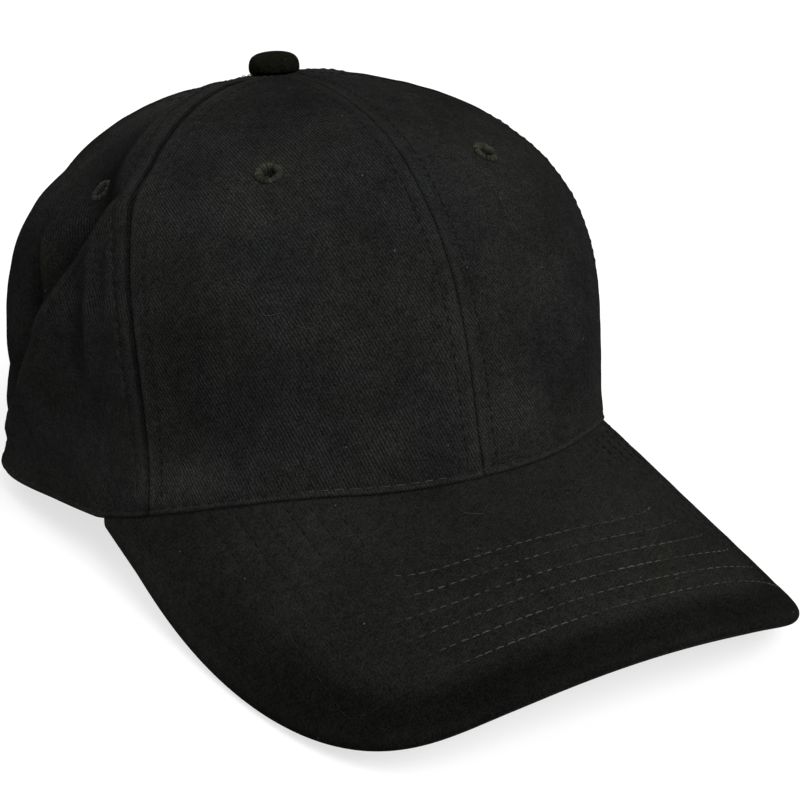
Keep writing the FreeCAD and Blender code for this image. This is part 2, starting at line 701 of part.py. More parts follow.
def make_tab():
    """Cloth tab: a loop round the clasp's bar, whose two layers run together into the hem."""
    half = "sizes.tab_width / 2"
    fit, cloth = "sizes.tab_fit", "sizes.tab_cloth"
    bar_low = "-sizes.buckle_plate_drop - sizes.buckle_plate"
    bar_back = "sizes.buckle_half_length - sizes.buckle_bar"
    hole_low = (f"{bar_back} - {fit}", f"{bar_low} - {fit}", f"-({half}) - 1")
    hole_high = (f"sizes.buckle_half_length + {fit}", f"-sizes.buckle_plate_drop + {fit}", f"{half} + 1")
    loop_low = (f"{hole_low[0]} - {cloth}", f"{hole_low[1]} - {cloth}", f"-({half})")
    loop_high = (f"{hole_high[0]} + {cloth} + {fit}", f"{hole_high[1]} + {cloth}", half)
    loop = boolean("Part::Cut", "tab_loop", block("tab_loop_block", loop_low, loop_high),
                   block("tab_loop_hole", hole_low, hole_high))
    loop.Placement = buckle_frame()

    outer_radius = "sizes.strap_radius - sizes.strap_thickness / 2 - sizes.tab_gap"
    near_bar = size("buckle_half_length") / size("strap_radius")
    start = size("buckle_angle") + math.degrees(near_bar) + size("tab_start_gap")
    outer = bound("Part::Cylinder", "tab_outer", {
        "Radius": outer_radius, "Height": "sizes.tab_width", "Angle": f"sizes.tab_end_angle - {start:.3f}"})
    inner = bound("Part::Cylinder", "tab_inner", {
        "Radius": f"{outer_radius} - 2 * {cloth}", "Height": "sizes.tab_width"})
    run = boolean("Part::Cut", "tab_run", outer, inner)
    lift = (size("strap_height") - size("tab_width")) / 2
    run.Placement = strap_frame() * Placement(Vector(0, 0, lift),
                                              Rotation(Vector(0, 0, 1), 90 - size("tab_end_angle")))
    keep(boolean("Part::Fuse", "buckle_tab", loop, run), "buckle_tab")


# ---------------------------------------------------------------- assembly, checks and export

def rest_placement():
    """Pitches the cap as it rests on a table and puts the origin under its footprint."""
    turned = Placement(Vector(), Rotation(Vector(1, 0, 0), -size("rest_pitch")))
    points = []
    for obj, local in pieces:
        surface_points, _ = obj.Shape.tessellate(0.1)
        change = turned * local * obj.Placement.inverse()
        points += [change.multVec(point) for point in surface_points]
    heights = [point.z for point in points]
    backs = [point.y for point in points]
    return Placement(Vector(0, -(min(backs) + max(backs)) / 2, -min(heights)), Rotation()) * turned


def check_document():
    for obj in doc.Objects:
        if "Invalid" in obj.State or "Error" in obj.State:
            raise SystemExit(f"{obj.Name} failed: {obj.State}")
    for obj, _ in pieces:
        if obj.Shape.isNull() or not obj.Shape.isValid() or obj.Shape.Volume <= 0:
            raise SystemExit(f"{obj.Label} has no valid shape")


def write_parts():
    os.makedirs("parts", exist_ok=True)
    for obj, _ in pieces:
        obj.Shape.exportStep(f"parts/{obj.Label}.step")


make_panels()
make_buckram()
make_seam_tapes()
make_arch_tape()
make_sweatband()
make_eyelets()
make_button()
make_visor()
make_strap()
make_buckle()
make_tab()
doc.recompute()

rest = rest_placement()
for obj, local in pieces:
    obj.Placement = rest * local
doc.recompute()
check_document()
write_parts()

pin_axis = buckle_frame().multVec(Vector(size("pin_place"), size("pin_height"), 0))
print("rest placement", rest)
print("strap bend axis through", rest.multVec(strap_frame().Base),
      "along", rest.Rotation.multVec(Vector(0, 0, 1)))
print("clasp pin through", rest.multVec(pin_axis))
for obj, _ in pieces:
    print(f"{obj.Label}: {len(obj.Shape.Solids)} solid, {obj.Shape.Volume / 1000:.2f} cm3")
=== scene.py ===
"""Black six-panel baseball cap: cloth, stitching and metal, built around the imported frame.

Shapes are worked out in millimetres in the cap's own frame: origin at the middle of the hem's
ring, +X the wearer's left, -Y the front (visor), +Z up the crown. in_frame() carries points to
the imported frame, in metres. Angles run round the ring from the front towards the wearer's left.
Rise runs up the crown from the hem (0) to the top (1). Lift is a distance outwards from the
cloth's outer face, and a piece inside the crown has a negative lift.
"""

import json
import math

import bpy
import numpy as np
from mathutils import Matrix, Vector


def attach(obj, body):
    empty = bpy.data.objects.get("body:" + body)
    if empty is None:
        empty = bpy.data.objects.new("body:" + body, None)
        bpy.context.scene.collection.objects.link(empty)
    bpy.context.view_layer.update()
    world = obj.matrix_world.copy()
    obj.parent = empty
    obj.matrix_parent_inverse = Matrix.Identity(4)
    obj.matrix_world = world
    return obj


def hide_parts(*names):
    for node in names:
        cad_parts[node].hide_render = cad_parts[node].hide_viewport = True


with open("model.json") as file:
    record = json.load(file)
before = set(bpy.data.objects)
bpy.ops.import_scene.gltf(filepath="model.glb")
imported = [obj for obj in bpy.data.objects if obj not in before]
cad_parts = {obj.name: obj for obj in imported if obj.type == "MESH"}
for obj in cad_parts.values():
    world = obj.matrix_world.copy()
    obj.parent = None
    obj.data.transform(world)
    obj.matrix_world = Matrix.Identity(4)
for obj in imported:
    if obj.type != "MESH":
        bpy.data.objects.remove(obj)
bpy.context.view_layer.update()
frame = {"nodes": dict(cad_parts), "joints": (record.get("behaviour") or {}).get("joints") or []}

# ---------------------------------------------------------------- sizes, millimetres and degrees

RING_FRONT_REACH, RING_BACK_REACH, RING_HALF_WIDTH, RING_FRONT_POWER = 102.6, 99.2, 84.8, 0.945
CROWN_HEIGHT, CROWN_TOP_BACK, TOP_HOLE_RISE = 116.2, 6.5, 0.974
SEAM_ANGLES = {"front_centre": 0.0, "front_side": 62.2, "rear_side": 117.2, "rear_centre": 180.0}
SEAM_LEAN, SEAM_BOW = 0.8, -2.5
# How strongly each seam's turned edges show, on its side towards the front and on its other side.
SEAM_RELIEF = {"front_centre": (0.12, 0.12), "front_side": (0.3, 1.0), "rear_side": (0.5, 0.8),
               "rear_centre": (0.5, 0.5)}
HEM_FLARE, HEM_FLARE_ANGLE, HEM_FLARE_SPREAD, HEM_CLEARANCE = 0.137, 115.7, 20.6, 0.45
# Crown profile at the front, the side and the back: see crown_point.
PROFILES = {
    "low_lean": (-0.051, -0.038, -0.001),
    "low_lift": (0.286, 0.337, 0.290),
    "high_lean": (-0.012, 0.291, -0.011),
    "high_lift": (0.763, 0.666, 0.739),
    "shoulder": (0.585, 0.694, 0.555),
}
PANELS = {"front": ("front_centre", "front_side"), "side": ("front_side", "rear_side"),
          "back": ("rear_side", "rear_centre")}
SIDES = {"left": 1, "right": -1}
EYELETS = {"front_left": (25.3, 0.606), "front_right": (-34.5, 0.618), "side_left": (88.0, 0.620),
           "side_right": (-79.0, 0.628), "back_left": (149.0, 0.600), "back_right": (-149.0, 0.600)}

VISOR_PITCH, VISOR_ARCH_RADIUS, VISOR_SIDE_RADIUS, VISOR_ARCH_HALF_WIDTH = 21.9, 229.4, 59.9, 36.1
VISOR_LENGTH, VISOR_WIDTH, VISOR_END_ANGLE, VISOR_END_TRIM = 71.1, 164.4, 76.8, 0.015
VISOR_CORNER_POWER, VISOR_FRONT_POWER, VISOR_CORNER_PLACE, VISOR_SIDE_PART = 6.54, 0.434, 0.575, 0.15
VISOR_THICKNESS = 3.9
VISOR_ROWS, VISOR_ROW_GAP, VISOR_ROW_SIDE_GAP, VISOR_FIRST_ROW = 6, 5.82, 5.0, 16.3

ARCH_RADIUS, ARCH_CENTRE_HEIGHT, ARCH_TAPE_WIDTH = 42.0, 5.0, 8.0
STRAP_RADIUS, STRAP_HEIGHT, STRAP_THICKNESS = 73.0, 20.0, 1.6
STRAP_CENTRE = (0.0, 22.6, 2.6)
STRAP_ROOT_ANGLE, STRAP_TAIL_ANGLE = 46.0, 58.0
CLASP_ANGLE, TAB_END_ANGLE, TAB_WIDTH, TAB_CLOTH = 22.0, 43.0, 18.0, 0.7
TAB_OUTER_RADIUS = STRAP_RADIUS - STRAP_THICKNESS / 2 - 0.25
REST_PITCH = 7.8

PANEL_THICKNESS, TURNED_EDGE = 1.15, 0.8
# Depths of the inner layers' two faces below the panels' outer face.
BUCKRAM_DEPTHS, SEAM_TAPE_DEPTHS = (1.3, 1.95), (2.15, 2.75)
ARCH_TAPE_DEPTHS, LINING_DEPTHS = (1.35, 2.0), (3.0, 4.1)
SEAM_TAPE_WIDTH, ARCH_STITCH_OFFSETS = 10.0, (1.6, 6.4)
PANEL_HOLE_RADIUS, BUCKRAM_HOLE_RADIUS = 2.4, 2.9
SEAM_STITCH_OFFSET, SEAM_STITCH_PITCH = 4.9, 3.1
HEM_STITCH_HEIGHT, HEM_STITCH_PITCH, HEM_LEAN = 2.6, 4.0, 1.03
VISOR_STITCH_PITCH = 3.0
STITCH_JITTER, STITCH_DIP = 0.08, 0.12
FLAT_STITCH = {"radius": 0.17, "lift": 0.1}

MM = 0.001
FAR_AWAY = 1e3
CLOTH_UV = "Cloth"
SHARP_EDGE_ANGLE, TUBE_SIDES = 60, 6
rng = np.random.default_rng(20)

# ---------------------------------------------------------------- placing points in the frame

strap_joint = next(joint for joint in frame["joints"] if joint["name"] == "strap_slide")
TILT = np.array(Matrix.Rotation(-math.radians(REST_PITCH), 3, "X"))
SHIFT = np.array(strap_joint["pos_m"]) - TILT @ np.array(STRAP_CENTRE) * MM


def in_frame(points):
    """Points of the cap's own frame, in millimetres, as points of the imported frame, in metres."""
    return np.asarray(points) @ TILT.T * MM + SHIFT


def mix(low, high, share):
    return low + (high - low) * share


def smooth_step(value, low, high):
    share = np.clip((value - low) / (high - low), 0.0, 1.0)
    return share * share * (3.0 - 2.0 * share)


def bell(value, width):
    """1 where the value is zero, falling to nearly 0 at twice the width."""
    return np.exp(-(value / width) ** 2)


def signed_power(value, power):
    return np.sign(value) * np.abs(value) ** power


def unit(vectors):
    return vectors / np.maximum(np.linalg.norm(vectors, axis=-1, keepdims=True), 1e-12)


def crowded(count, amount):
    """Shares from 0 to 1, closer together at both ends."""
    share = np.linspace(0, 1, count)
    return share - amount * np.sin(2 * math.pi * share) / (2 * math.pi)


def along_path(points):
    """Distance run so far at each point of a path, or of each of a row of paths."""
    steps = np.linalg.norm(np.diff(points, axis=0), axis=-1)
    return np.concatenate([np.zeros_like(steps[:1]), np.cumsum(steps, axis=0)])


def smooth_route(corners, count, reach):
    """Evenly spaced points on a run of straight lines, rounded over a reach along it."""
    run = along_path(corners)
    places = np.linspace(0, run[-1], count)
    half = max(int(round(reach / run[-1] * count / 2)), 1)
    kernel = np.hanning(2 * half + 3)[1:-1]
    lines = [np.pad(np.interp(places, run, values), half, mode="reflect", reflect_type="odd")
             for values in corners.T]
    return np.stack([np.convolve(line, kernel / kernel.sum(), "valid") for line in lines], axis=-1)


# ---------------------------------------------------------------- crown surface


def ring_point(angle):
    """Point of the hem's outer edge in plan."""
    front = np.cos(angle) > 0
    power = np.where(front, RING_FRONT_POWER, 1.0)
    reach = np.where(front, RING_FRONT_REACH, RING_BACK_REACH)
    return (RING_HALF_WIDTH * signed_power(np.sin(angle), power),
            -reach * signed_power(np.cos(angle), power))


def visor_slope(across):
    """Sideways slope of the visor's arch at a distance from its centre line."""
    far = np.abs(across)
    run = far - VISOR_ARCH_HALF_WIDTH + VISOR_SIDE_RADIUS * VISOR_ARCH_HALF_WIDTH / VISOR_ARCH_RADIUS
    middle = np.arcsin(np.clip(far / VISOR_ARCH_RADIUS, 0, 1))
    side = np.arcsin(np.clip(run / VISOR_SIDE_RADIUS, 0, 1))
    return np.sign(across) * np.where(far < VISOR_ARCH_HALF_WIDTH, middle, side)


def visor_drop(across):
    """How far the arch has dropped there: a wide arc in the middle, a tight arc at each side."""
    slope = np.abs(visor_slope(across))
    join = math.asin(VISOR_ARCH_HALF_WIDTH / VISOR_ARCH_RADIUS)
    middle = VISOR_ARCH_RADIUS * (1 - np.cos(slope))
    side = VISOR_ARCH_RADIUS * (1 - math.cos(join)) + VISOR_SIDE_RADIUS * (math.cos(join) - np.cos(slope))
    return np.where(np.abs(across) < VISOR_ARCH_HALF_WIDTH, middle, side)


def visor_height(angle):
    """Height at which the visor's face meets the hem, above the hem's front centre."""
    across, back = ring_point(angle)
    pitch = math.radians(VISOR_PITCH)
    return math.tan(pitch) * (back + RING_FRONT_REACH) - visor_drop(across) / math.cos(pitch)


def turned(angle, degrees):
    """Signed difference of an angle from one in degrees, from -pi to pi."""
    return (angle - math.radians(degrees) + math.pi) % (2 * math.pi) - math.pi


def from_front(angle):
    """Unsigned angle from the front, 0 to pi."""
    return np.abs(turned(angle, 0.0))


def hem_height(angle):
    """The hem follows the visor's arch at the front and lies flat behind it."""
    end = math.radians(VISOR_END_ANGLE)
    return visor_height(np.minimum(from_front(angle), end)) - visor_height(end)


def above_hem(point, angle):
    """Distance up the cloth from the hem, near it: the crown leans, so more than the height."""
    return (point[..., 2] - hem_height(angle)) * HEM_LEAN


def profile_value(name, angle):
    front, side, back = PROFILES[name]
    toward = np.where(np.cos(angle) > 0, front, back)
    return mix(side, toward, np.cos(angle) ** 2)


def crown_point(angle, rise, flared=True):
    """Point of the crown's outer face: a quartic Bezier profile from the hem to the top."""
    across, back = ring_point(angle)
    low = hem_height(angle)
    if flared:
        off = (from_front(angle) - math.radians(HEM_FLARE_ANGLE)) / math.radians(HEM_FLARE_SPREAD)
        swell = 1 + HEM_FLARE * bell(off, 1) * (1 - rise) ** 6
        across, back = across * swell, back * swell
    rest = 1 - rise
    weights = (rest ** 4, 4 * rise * rest ** 3, 6 * (rise * rest) ** 2, 4 * rise ** 3 * rest, rise ** 4)
    radius = (weights[0] + weights[1] * (1 + profile_value("low_lean", angle))
              + weights[2] * (1 + profile_value("high_lean", angle))
              + weights[3] * profile_value("shoulder", angle))
    height = (weights[1] * profile_value("low_lift", angle)
              + weights[2] * profile_value("high_lift", angle) + weights[3] + weights[4])
    return np.stack([across * radius, CROWN_TOP_BACK * (1 - radius) + back * radius,
                     low + (CROWN_HEIGHT - low) * height], axis=-1)


def crown_normal(angle, rise, flared=True):
    step = 0.004
    low, high = np.maximum(rise - step, 0.0), np.minimum(rise + step, 0.999)
    along = crown_point(angle + step, rise, flared) - crown_point(angle - step, rise, flared)
    up = crown_point(angle, high, flared) - crown_point(angle, low, flared)
    return unit(np.cross(along, up))


def crown_radius(angle, rise):
    point = crown_point(angle, rise)
    return np.hypot(point[..., 0], point[..., 1] - CROWN_TOP_BACK)


def seam_angle(name, rise):
    """A left-hand seam's angle: side seams lean and bow on their way up, centre seams don't."""
    base = math.radians(SEAM_ANGLES[name])
    if name.endswith("centre"):
        return np.full(np.shape(rise), base)
    return (base + math.radians(SEAM_LEAN) * np.sin(math.pi * rise)
            + math.radians(SEAM_BOW) * np.sin(2 * math.pi * rise))


def nearest_seam(angle, rise):
    """Distance across the cloth to the nearest of the six seams, and how strongly it shows there."""
    radius = crown_radius(angle, rise)
    nearest, strength = np.full(np.shape(angle), FAR_AWAY), np.zeros(np.shape(angle))
    for name, (ahead, behind) in SEAM_RELIEF.items():
        away = (from_front(angle) - seam_angle(name, rise)) * radius
        closer = np.abs(away) < nearest
        strength = np.where(closer, np.where(away < 0, ahead, behind), strength)
        nearest = np.minimum(nearest, np.abs(away))
    return nearest, strength


def arch_distance(point):
    """Distance outwards from the rear opening's outline: a half round on short upright legs."""
    across, up = point[..., 0], point[..., 2] - ARCH_CENTRE_HEIGHT
    away = np.where(up > 0, np.hypot(across, up), np.abs(across)) - ARCH_RADIUS
    return np.where(point[..., 1] > 0, away, FAR_AWAY)


# ---------------------------------------------------------------- relief of the cloth

# Folds in the side and back panels. Each runs along listed (angle, rise) points, from its
# top to its foot. Height is how far it stands out; it falls off over front and back, the
# distances towards the visor and away from it; valley is the depth of the hollow behind it.
# Heights and valleys are all multiplied by FOLD_GAIN.
FOLD_GAIN = 1.3
FOLDS = [
    {"route": [(-77, 0.90), (-73.5, 0.80), (-72.5, 0.72), (-71.5, 0.65), (-70, 0.58)],
     "height": 2.4, "front": 7.0, "back": 5.5, "valley": 2.0},
    {"route": [(-67, 0.60), (-71, 0.535), (-76.4, 0.446), (-82, 0.35), (-93.4, 0.21), (-108, 0.09)],
     "height": 3.0, "front": 10.0, "back": 3.6, "valley": 2.0},
    {"route": [(-88, 0.80), (-88.5, 0.68), (-86.5, 0.57), (-84, 0.48), (-82.5, 0.36)],
     "height": 2.6, "front": 6.5, "back": 3.4, "valley": 2.2},
    {"route": [(-71, 0.50), (-71, 0.42), (-71.5, 0.34), (-72, 0.26)],
     "height": 0.8, "front": 3.4, "back": 2.2, "valley": 0.5},
    {"route": [(-67.5, 0.52), (-66.8, 0.46), (-66.5, 0.40)],
     "height": 0.5, "front": 2.2, "back": 1.8, "valley": 0.3},
    {"route": [(-104, 0.62), (-103, 0.48), (-100, 0.34), (-103, 0.22)],
     "height": 1.6, "front": 10.0, "back": 7.0, "valley": 0.9},
    {"route": [(-140, 0.72), (-136, 0.60), (-131, 0.46), (-128, 0.30)],
     "height": 1.5, "front": 9.0, "back": 7.0, "valley": 0.8},
    {"route": [(84, 0.70), (82, 0.56), (78, 0.42), (76, 0.28)],
     "height": 1.6, "front": 9.0, "back": 6.0, "valley": 0.7},
    {"route": [(104, 0.50), (102, 0.38), (97, 0.26), (90, 0.14)],
     "height": 1.8, "front": 9.0, "back": 5.0, "valley": 0.9},
    {"route": [(141, 0.74), (137, 0.62), (133, 0.50), (131, 0.36)],
     "height": 1.3, "front": 8.0, "back": 7.0, "valley": 0.7},
]

# Broad swells and sags of the soft crown: (angle, rise, spread in angle, spread in rise, height).
SWELLS = [(80, 0.93, 42, 0.06, 1.2), (-98, 0.68, 24, 0.15, -1.5), (-112, 0.14, 16, 0.11, 1.5),
          (58, 0.66, 16, 0.12, 0.9), (150, 0.5, 25, 0.2, -0.8), (-150, 0.45, 20, 0.2, 0.8)]
# Painted shade and painted light: these patches stand in for how the light falls across the crown.
# Patches of the crown whose cloth is painted darker to match the photograph's tones, or paler
# where the share is below zero: (angle, rise, spread in angle, spread in rise, share).
PAINTED_LIGHT_AND_SHADE_PATCHES = [(-51, 0.31, 9, 0.13, 0.34), (-78, 0.55, 9, 0.16, 0.14), (-92, 0.46, 9, 0.22, 0.12),
                (-54, 0.06, 13, 0.06, -0.75), (-76, 0.13, 12, 0.07, -0.35), (36, 0.92, 34, 0.06, -0.3),
                (-20, 0.80, 20, 0.12, 0.17), (24, 0.20, 6, 0.16, 0.14), (46, 0.74, 9, 0.12, 0.10),
                (-100, 0.85, 25, 0.10, -0.35)]
# Painted shade along the seams and in the hollow behind each fold, a painted highlight along each fold's
# crest, and the deepest painted shade allowed.
SEAM_SHADE, FOLD_SHADE, FOLD_HIGHLIGHT, DEEPEST_SHADE = 0.62, 0.36, 2.2, 0.7


def fold_route(fold, rise):
    """Angle of a fold's crest at each rise, as a smooth curve through its points."""
    angles, rises = np.array(fold["route"], float).T
    steps = np.linspace(rises.min(), rises.max(), 160)
    line = np.interp(steps, rises[::-1], angles[::-1])
    kernel = np.hanning(31)
    padded = np.pad(line, 15, mode="reflect", reflect_type="odd")
    return np.radians(np.interp(rise, steps, np.convolve(padded, kernel / kernel.sum(), "valid")))


def patch(angle, rise, centre, middle, spread, reach):
    """Soft oval patch of the crown: 1 at its middle, falling off over its two spreads."""
    return bell(turned(angle, centre) / math.radians(spread), 1) * bell((rise - middle) / reach, 1)


def fold_places(angle, rise):
    """Each fold with how much of it is present at each point and how far in front of its crest."""
    for fold in FOLDS:
        rises = [point[1] for point in fold["route"]]
        low, high = min(rises), max(rises)
        fade = smooth_step(rise, low - 0.07, low + 0.06) * (1 - smooth_step(rise, high - 0.06, high + 0.07))
        away = (angle - fold_route(fold, rise)) * crown_radius(angle, rise)
        yield fold, fade, away * np.where(angle < 0, 1, -1)


def fold_relief(angle, rise):
    total = np.zeros(np.shape(angle))
    for fold, fade, away in fold_places(angle, rise):
        crest = np.where(away > 0, np.exp(-np.abs(away / fold["front"]) ** 1.3), bell(away, fold["back"]))
        hollow = bell(away + 2.2 * fold["back"], 1.4 * fold["back"])
        total = total + FOLD_GAIN * fade * (fold["height"] * crest - fold["valley"] * hollow)
    return total


def crown_marks(angle, rise, wear_and_highlight):
    """Where the crown's cloth is painted pale, from wear at its edges and as a painted highlight along fold
    crests, and where painted shade darkens it, or painted light brightens it.
    """
    seam, strength = nearest_seam(angle, rise)
    # painted shade in the seams' grooves
    painted_shade_and_light = SEAM_SHADE * strength * bell(seam - 0.3, 0.75)
    highest = max(fold["height"] for fold in FOLDS)
    for fold, fade, away in fold_places(angle, rise):
        share = fade * fold["height"] / highest
        # painted highlight along the fold's crest
        wear_and_highlight = wear_and_highlight + FOLD_HIGHLIGHT * share * bell(away - 0.2, 0.9)
        # painted shade in the hollow behind the fold
        painted_shade_and_light = painted_shade_and_light + FOLD_SHADE * share * bell(away + 1.5 * fold["back"], 1.5 * fold["back"])
    # painted shade in patches, and painted light where a patch's share is below zero
    painted_shade_and_light = painted_shade_and_light + sum(share * patch(angle, rise, *place) for *place, share in PAINTED_LIGHT_AND_SHADE_PATCHES)
    return {"wear_and_highlight": wear_and_highlight, "painted_shade_and_light": np.minimum(painted_shade_and_light, DEEPEST_SHADE)}


def waves(point, length, seed, count=7):
    """Gentle random undulation, from -1 to 1, of about the given wavelength."""
    draw = np.random.default_rng(seed)
    total = np.zeros(point.shape[:-1])
    for _ in range(count):
        direction = unit(draw.normal(size=3)) * 2 * math.pi / (length * draw.uniform(0.7, 1.5))
        total += np.sin(point @ direction + draw.uniform(0, 2 * math.pi))
    return total / math.sqrt(2.0 * count)


def edge_fall(distance, radius):
    """How far a turned-in edge has fallen at a distance from it."""
    near = np.clip(distance, 0.0, radius)
    return radius - np.sqrt(np.maximum(radius ** 2 - (radius - near) ** 2, 0.0))


def body_relief(angle, rise):
    """Relief that every layer of the crown shares: folds and a soft unevenness."""
    point = crown_point(angle, rise)
    unstiffened = smooth_step(from_front(angle), math.radians(58), math.radians(75))
    amount = mix(0.25, 0.8, unstiffened) * smooth_step(rise, 0.0, 0.15) * (1 - smooth_step(rise, 0.85, 1.0))
    swell = sum(height * patch(angle, rise, *place) for *place, height in SWELLS)
    return fold_relief(angle, rise) + swell + amount * waves(point, 42.0, 3)


def panel_relief(angle, rise):
    """Relief of the panels' outer face, and how much wear each point shows by standing proud."""
    point = crown_point(angle, rise)
    seam, strength = nearest_seam(angle, rise)
    hem = above_hem(point, angle)
    arch = arch_distance(point)
    edge = np.minimum(np.minimum(seam, hem), arch)
    relief = body_relief(angle, rise) - np.maximum(
        edge_fall(np.minimum(hem, arch), 1.05), edge_fall(seam, TURNED_EDGE) * mix(0.75, 1.0, strength))

    # turned allowance under the seams, puffed between the seam and its stitching
    allowance = 0.26 * (1 - smooth_step(seam, 5.6, 8.5))
    puff = 0.18 * np.sin(math.pi * np.clip(seam / SEAM_STITCH_OFFSET, 0, 1))
    dent = 0.24 * bell(seam - SEAM_STITCH_OFFSET, 0.7)
    height = point[..., 2]
    pucker = 0.10 * np.sin(height * 1.03 + 1.7 * np.sin(height * 0.19 + angle * 3)) * bell(seam - 6.5, 4.5)
    shown = strength * smooth_step(hem, 0.5, 5.0) * (1 - smooth_step(rise, 0.88, 0.95))
    relief = relief + (allowance + puff - dent + pucker) * shown

    # hem: a stitched line with a puffed roll below it
    roll = 0.18 * bell(hem - 1.3, 1.0) - 0.26 * bell(hem - HEM_STITCH_HEIGHT, 0.6)
    ring_run = from_front(angle) * RING_HALF_WIDTH
    hem_pucker = 0.12 * np.sin(ring_run * 1.25 + 1.5 * np.sin(ring_run * 0.21)) * bell(hem - 5.0, 4.0)
    relief = relief + roll + hem_pucker

    # binding line round the rear opening
    relief = relief - 0.24 * bell(arch - ARCH_STITCH_OFFSETS[1], 0.7)
    relief = relief + 0.2 * (1 - smooth_step(arch, 6.0, 9.0))

    # gathers below the button
    gather = 0.16 * np.cos(24 * angle + 2 * np.sin(3 * angle)) * smooth_step(rise, 0.86, 0.96)
    relief = relief + gather + 0.10 * waves(point, 9.0, 5)
    wear_and_highlight = bell(edge - 1.5, 1.0) + 0.6 * bell(edge - 0.2, 0.7)
    return relief, wear_and_highlight


def lifted(angle, rise, lift):
    """Point at a lift outwards from the smooth crown."""
    return crown_point(angle, rise) + crown_normal(angle, rise) * np.asarray(lift)[..., None]


def crown_surface(angle, rise, lift=0.0):
    """Point of the finished outer cloth, or of a layer at a lift from it."""
    relief, _ = panel_relief(angle, rise)
    return lifted(angle, rise, relief + lift)


def inner_surface(angle, rise, lift):
    """Point of a layer inside the crown, which keeps the folds and not the seams."""
    return lifted(angle, rise, body_relief(angle, rise) + lift)


def shaped_normal(angle, rise):
    """Outward direction of the crown with its folds."""
    step = 0.012
    along = inner_surface(angle + step, rise, 0.0) - inner_surface(angle - step, rise, 0.0)
    up = inner_surface(angle, rise + step, 0.0) - inner_surface(angle, rise - step, 0.0)
    return unit(np.cross(along, up))


def find_on_crown(across, height):
    """(angle, rise) of the crown's rear points at a sideways place and a height, by Newton steps."""
    across, height = np.asarray(across, float), np.asarray(height, float)
    angle = math.pi - np.arcsin(np.clip(across / RING_HALF_WIDTH, -0.98, 0.98))
    rise = np.clip(height / CROWN_HEIGHT * 0.7, 0.01, 0.9)
    step = 1e-4
    for _ in range(14):
        here = crown_point(angle, rise)
        along = (crown_point(angle + step, rise) - here) / step
        up = (crown_point(angle, rise + step) - here) / step
        miss_across, miss_up = across - here[..., 0], height - here[..., 2]
        spread = along[..., 0] * up[..., 2] - up[..., 0] * along[..., 2]
        angle = angle + (miss_across * up[..., 2] - miss_up * up[..., 0]) / spread
        rise = np.clip(rise + (along[..., 0] * miss_up - along[..., 2] * miss_across) / spread, 0.0, 0.97)
    return angle, rise


# ---------------------------------------------------------------- mesh building


def make_object(name, points, faces, uv, marks=None):
    """Mesh object from points in millimetres of the cap's frame; unused points are dropped.

    marks gives each point's share, by name, of what the materials read: paler with wear or a painted
    highlight, darker with painted shade.
    """
    used, faces = np.unique(faces, return_inverse=True)
    faces = faces.reshape(-1, 4)
    mesh = bpy.data.meshes.new(name)
    mesh.from_pydata(in_frame(points[used]).tolist(), [], faces.tolist())
    layer = mesh.uv_layers.new(name=CLOTH_UV)
    layer.data.foreach_set("uv", uv[used][faces.ravel()].astype(np.float32).ravel())
    for mark, values in (marks or {}).items():
        attribute = mesh.attributes.new(mark, "FLOAT", "POINT")
        attribute.data.foreach_set("value", values[used].astype(np.float32))
    mesh.polygons.foreach_set("use_smooth", [True] * len(mesh.polygons))
    mesh.set_sharp_from_angle(angle=math.radians(SHARP_EDGE_ANGLE))
    obj = bpy.data.objects.new(name, mesh)
    bpy.context.scene.collection.objects.link(obj)
    return obj


def grid_quads(columns, rows, wrap_columns=False, wrap_rows=False):
    """Corner indices of a grid's quads. A grid may close on itself either way."""
    i = np.arange(columns if wrap_columns else columns - 1)
    j = np.arange(rows if wrap_rows else rows - 1)
    i, j = [item.ravel() for item in np.meshgrid(i, j, indexing="ij")]
    right, above = (i + 1) % columns, (j + 1) % rows
    return np.stack([i * rows + j, right * rows + j, right * rows + above, i * rows + above], axis=1)


def closing_walls(quads, offset):
    """Quads that join an outer sheet's open edges to the inner sheet, offset indices further on."""
    starts, ends = quads.ravel(), np.roll(quads, -1, axis=1).ravel()
    span = quads.max() + 1
    open_edge = ~np.isin(starts * span + ends, ends * span + starts)
    a, b = starts[open_edge], ends[open_edge]
    return np.stack([b, a, a + offset, b + offset], axis=1)


def cloth_object(name, outer, inner, uv, marks=None, holes=None):
    """Closed cloth from an outer and an inner grid of points. holes marks the quads left out."""
    columns, rows = outer.shape[:2]
    count = columns * rows
    quads = grid_quads(columns, rows)
    if holes is not None:
        quads = quads[~holes.ravel()]
    faces = np.concatenate([quads, quads[:, ::-1] + count, closing_walls(quads, count)])
    points = np.concatenate([outer.reshape(-1, 3), inner.reshape(-1, 3)])
    flat_uv = np.tile(uv.reshape(-1, 2), (2, 1))
    flat_marks = {mark: np.concatenate([values.ravel(), np.zeros(count)])
                  for mark, values in (marks or {}).items()}
    return make_object(name, points, faces, flat_uv, flat_marks)


def grid_normals(points):
    return unit(np.cross(np.gradient(points, axis=0), np.gradient(points, axis=1)))


def cloth_uv(points):
    """Cloth coordinates in millimetres: along each row from the middle column, and up the middle."""
    middle = points.shape[0] // 2
    across = along_path(points)
    up = along_path(points[middle])
    return np.stack([across - across[middle], np.broadcast_to(up, across.shape)], axis=-1)


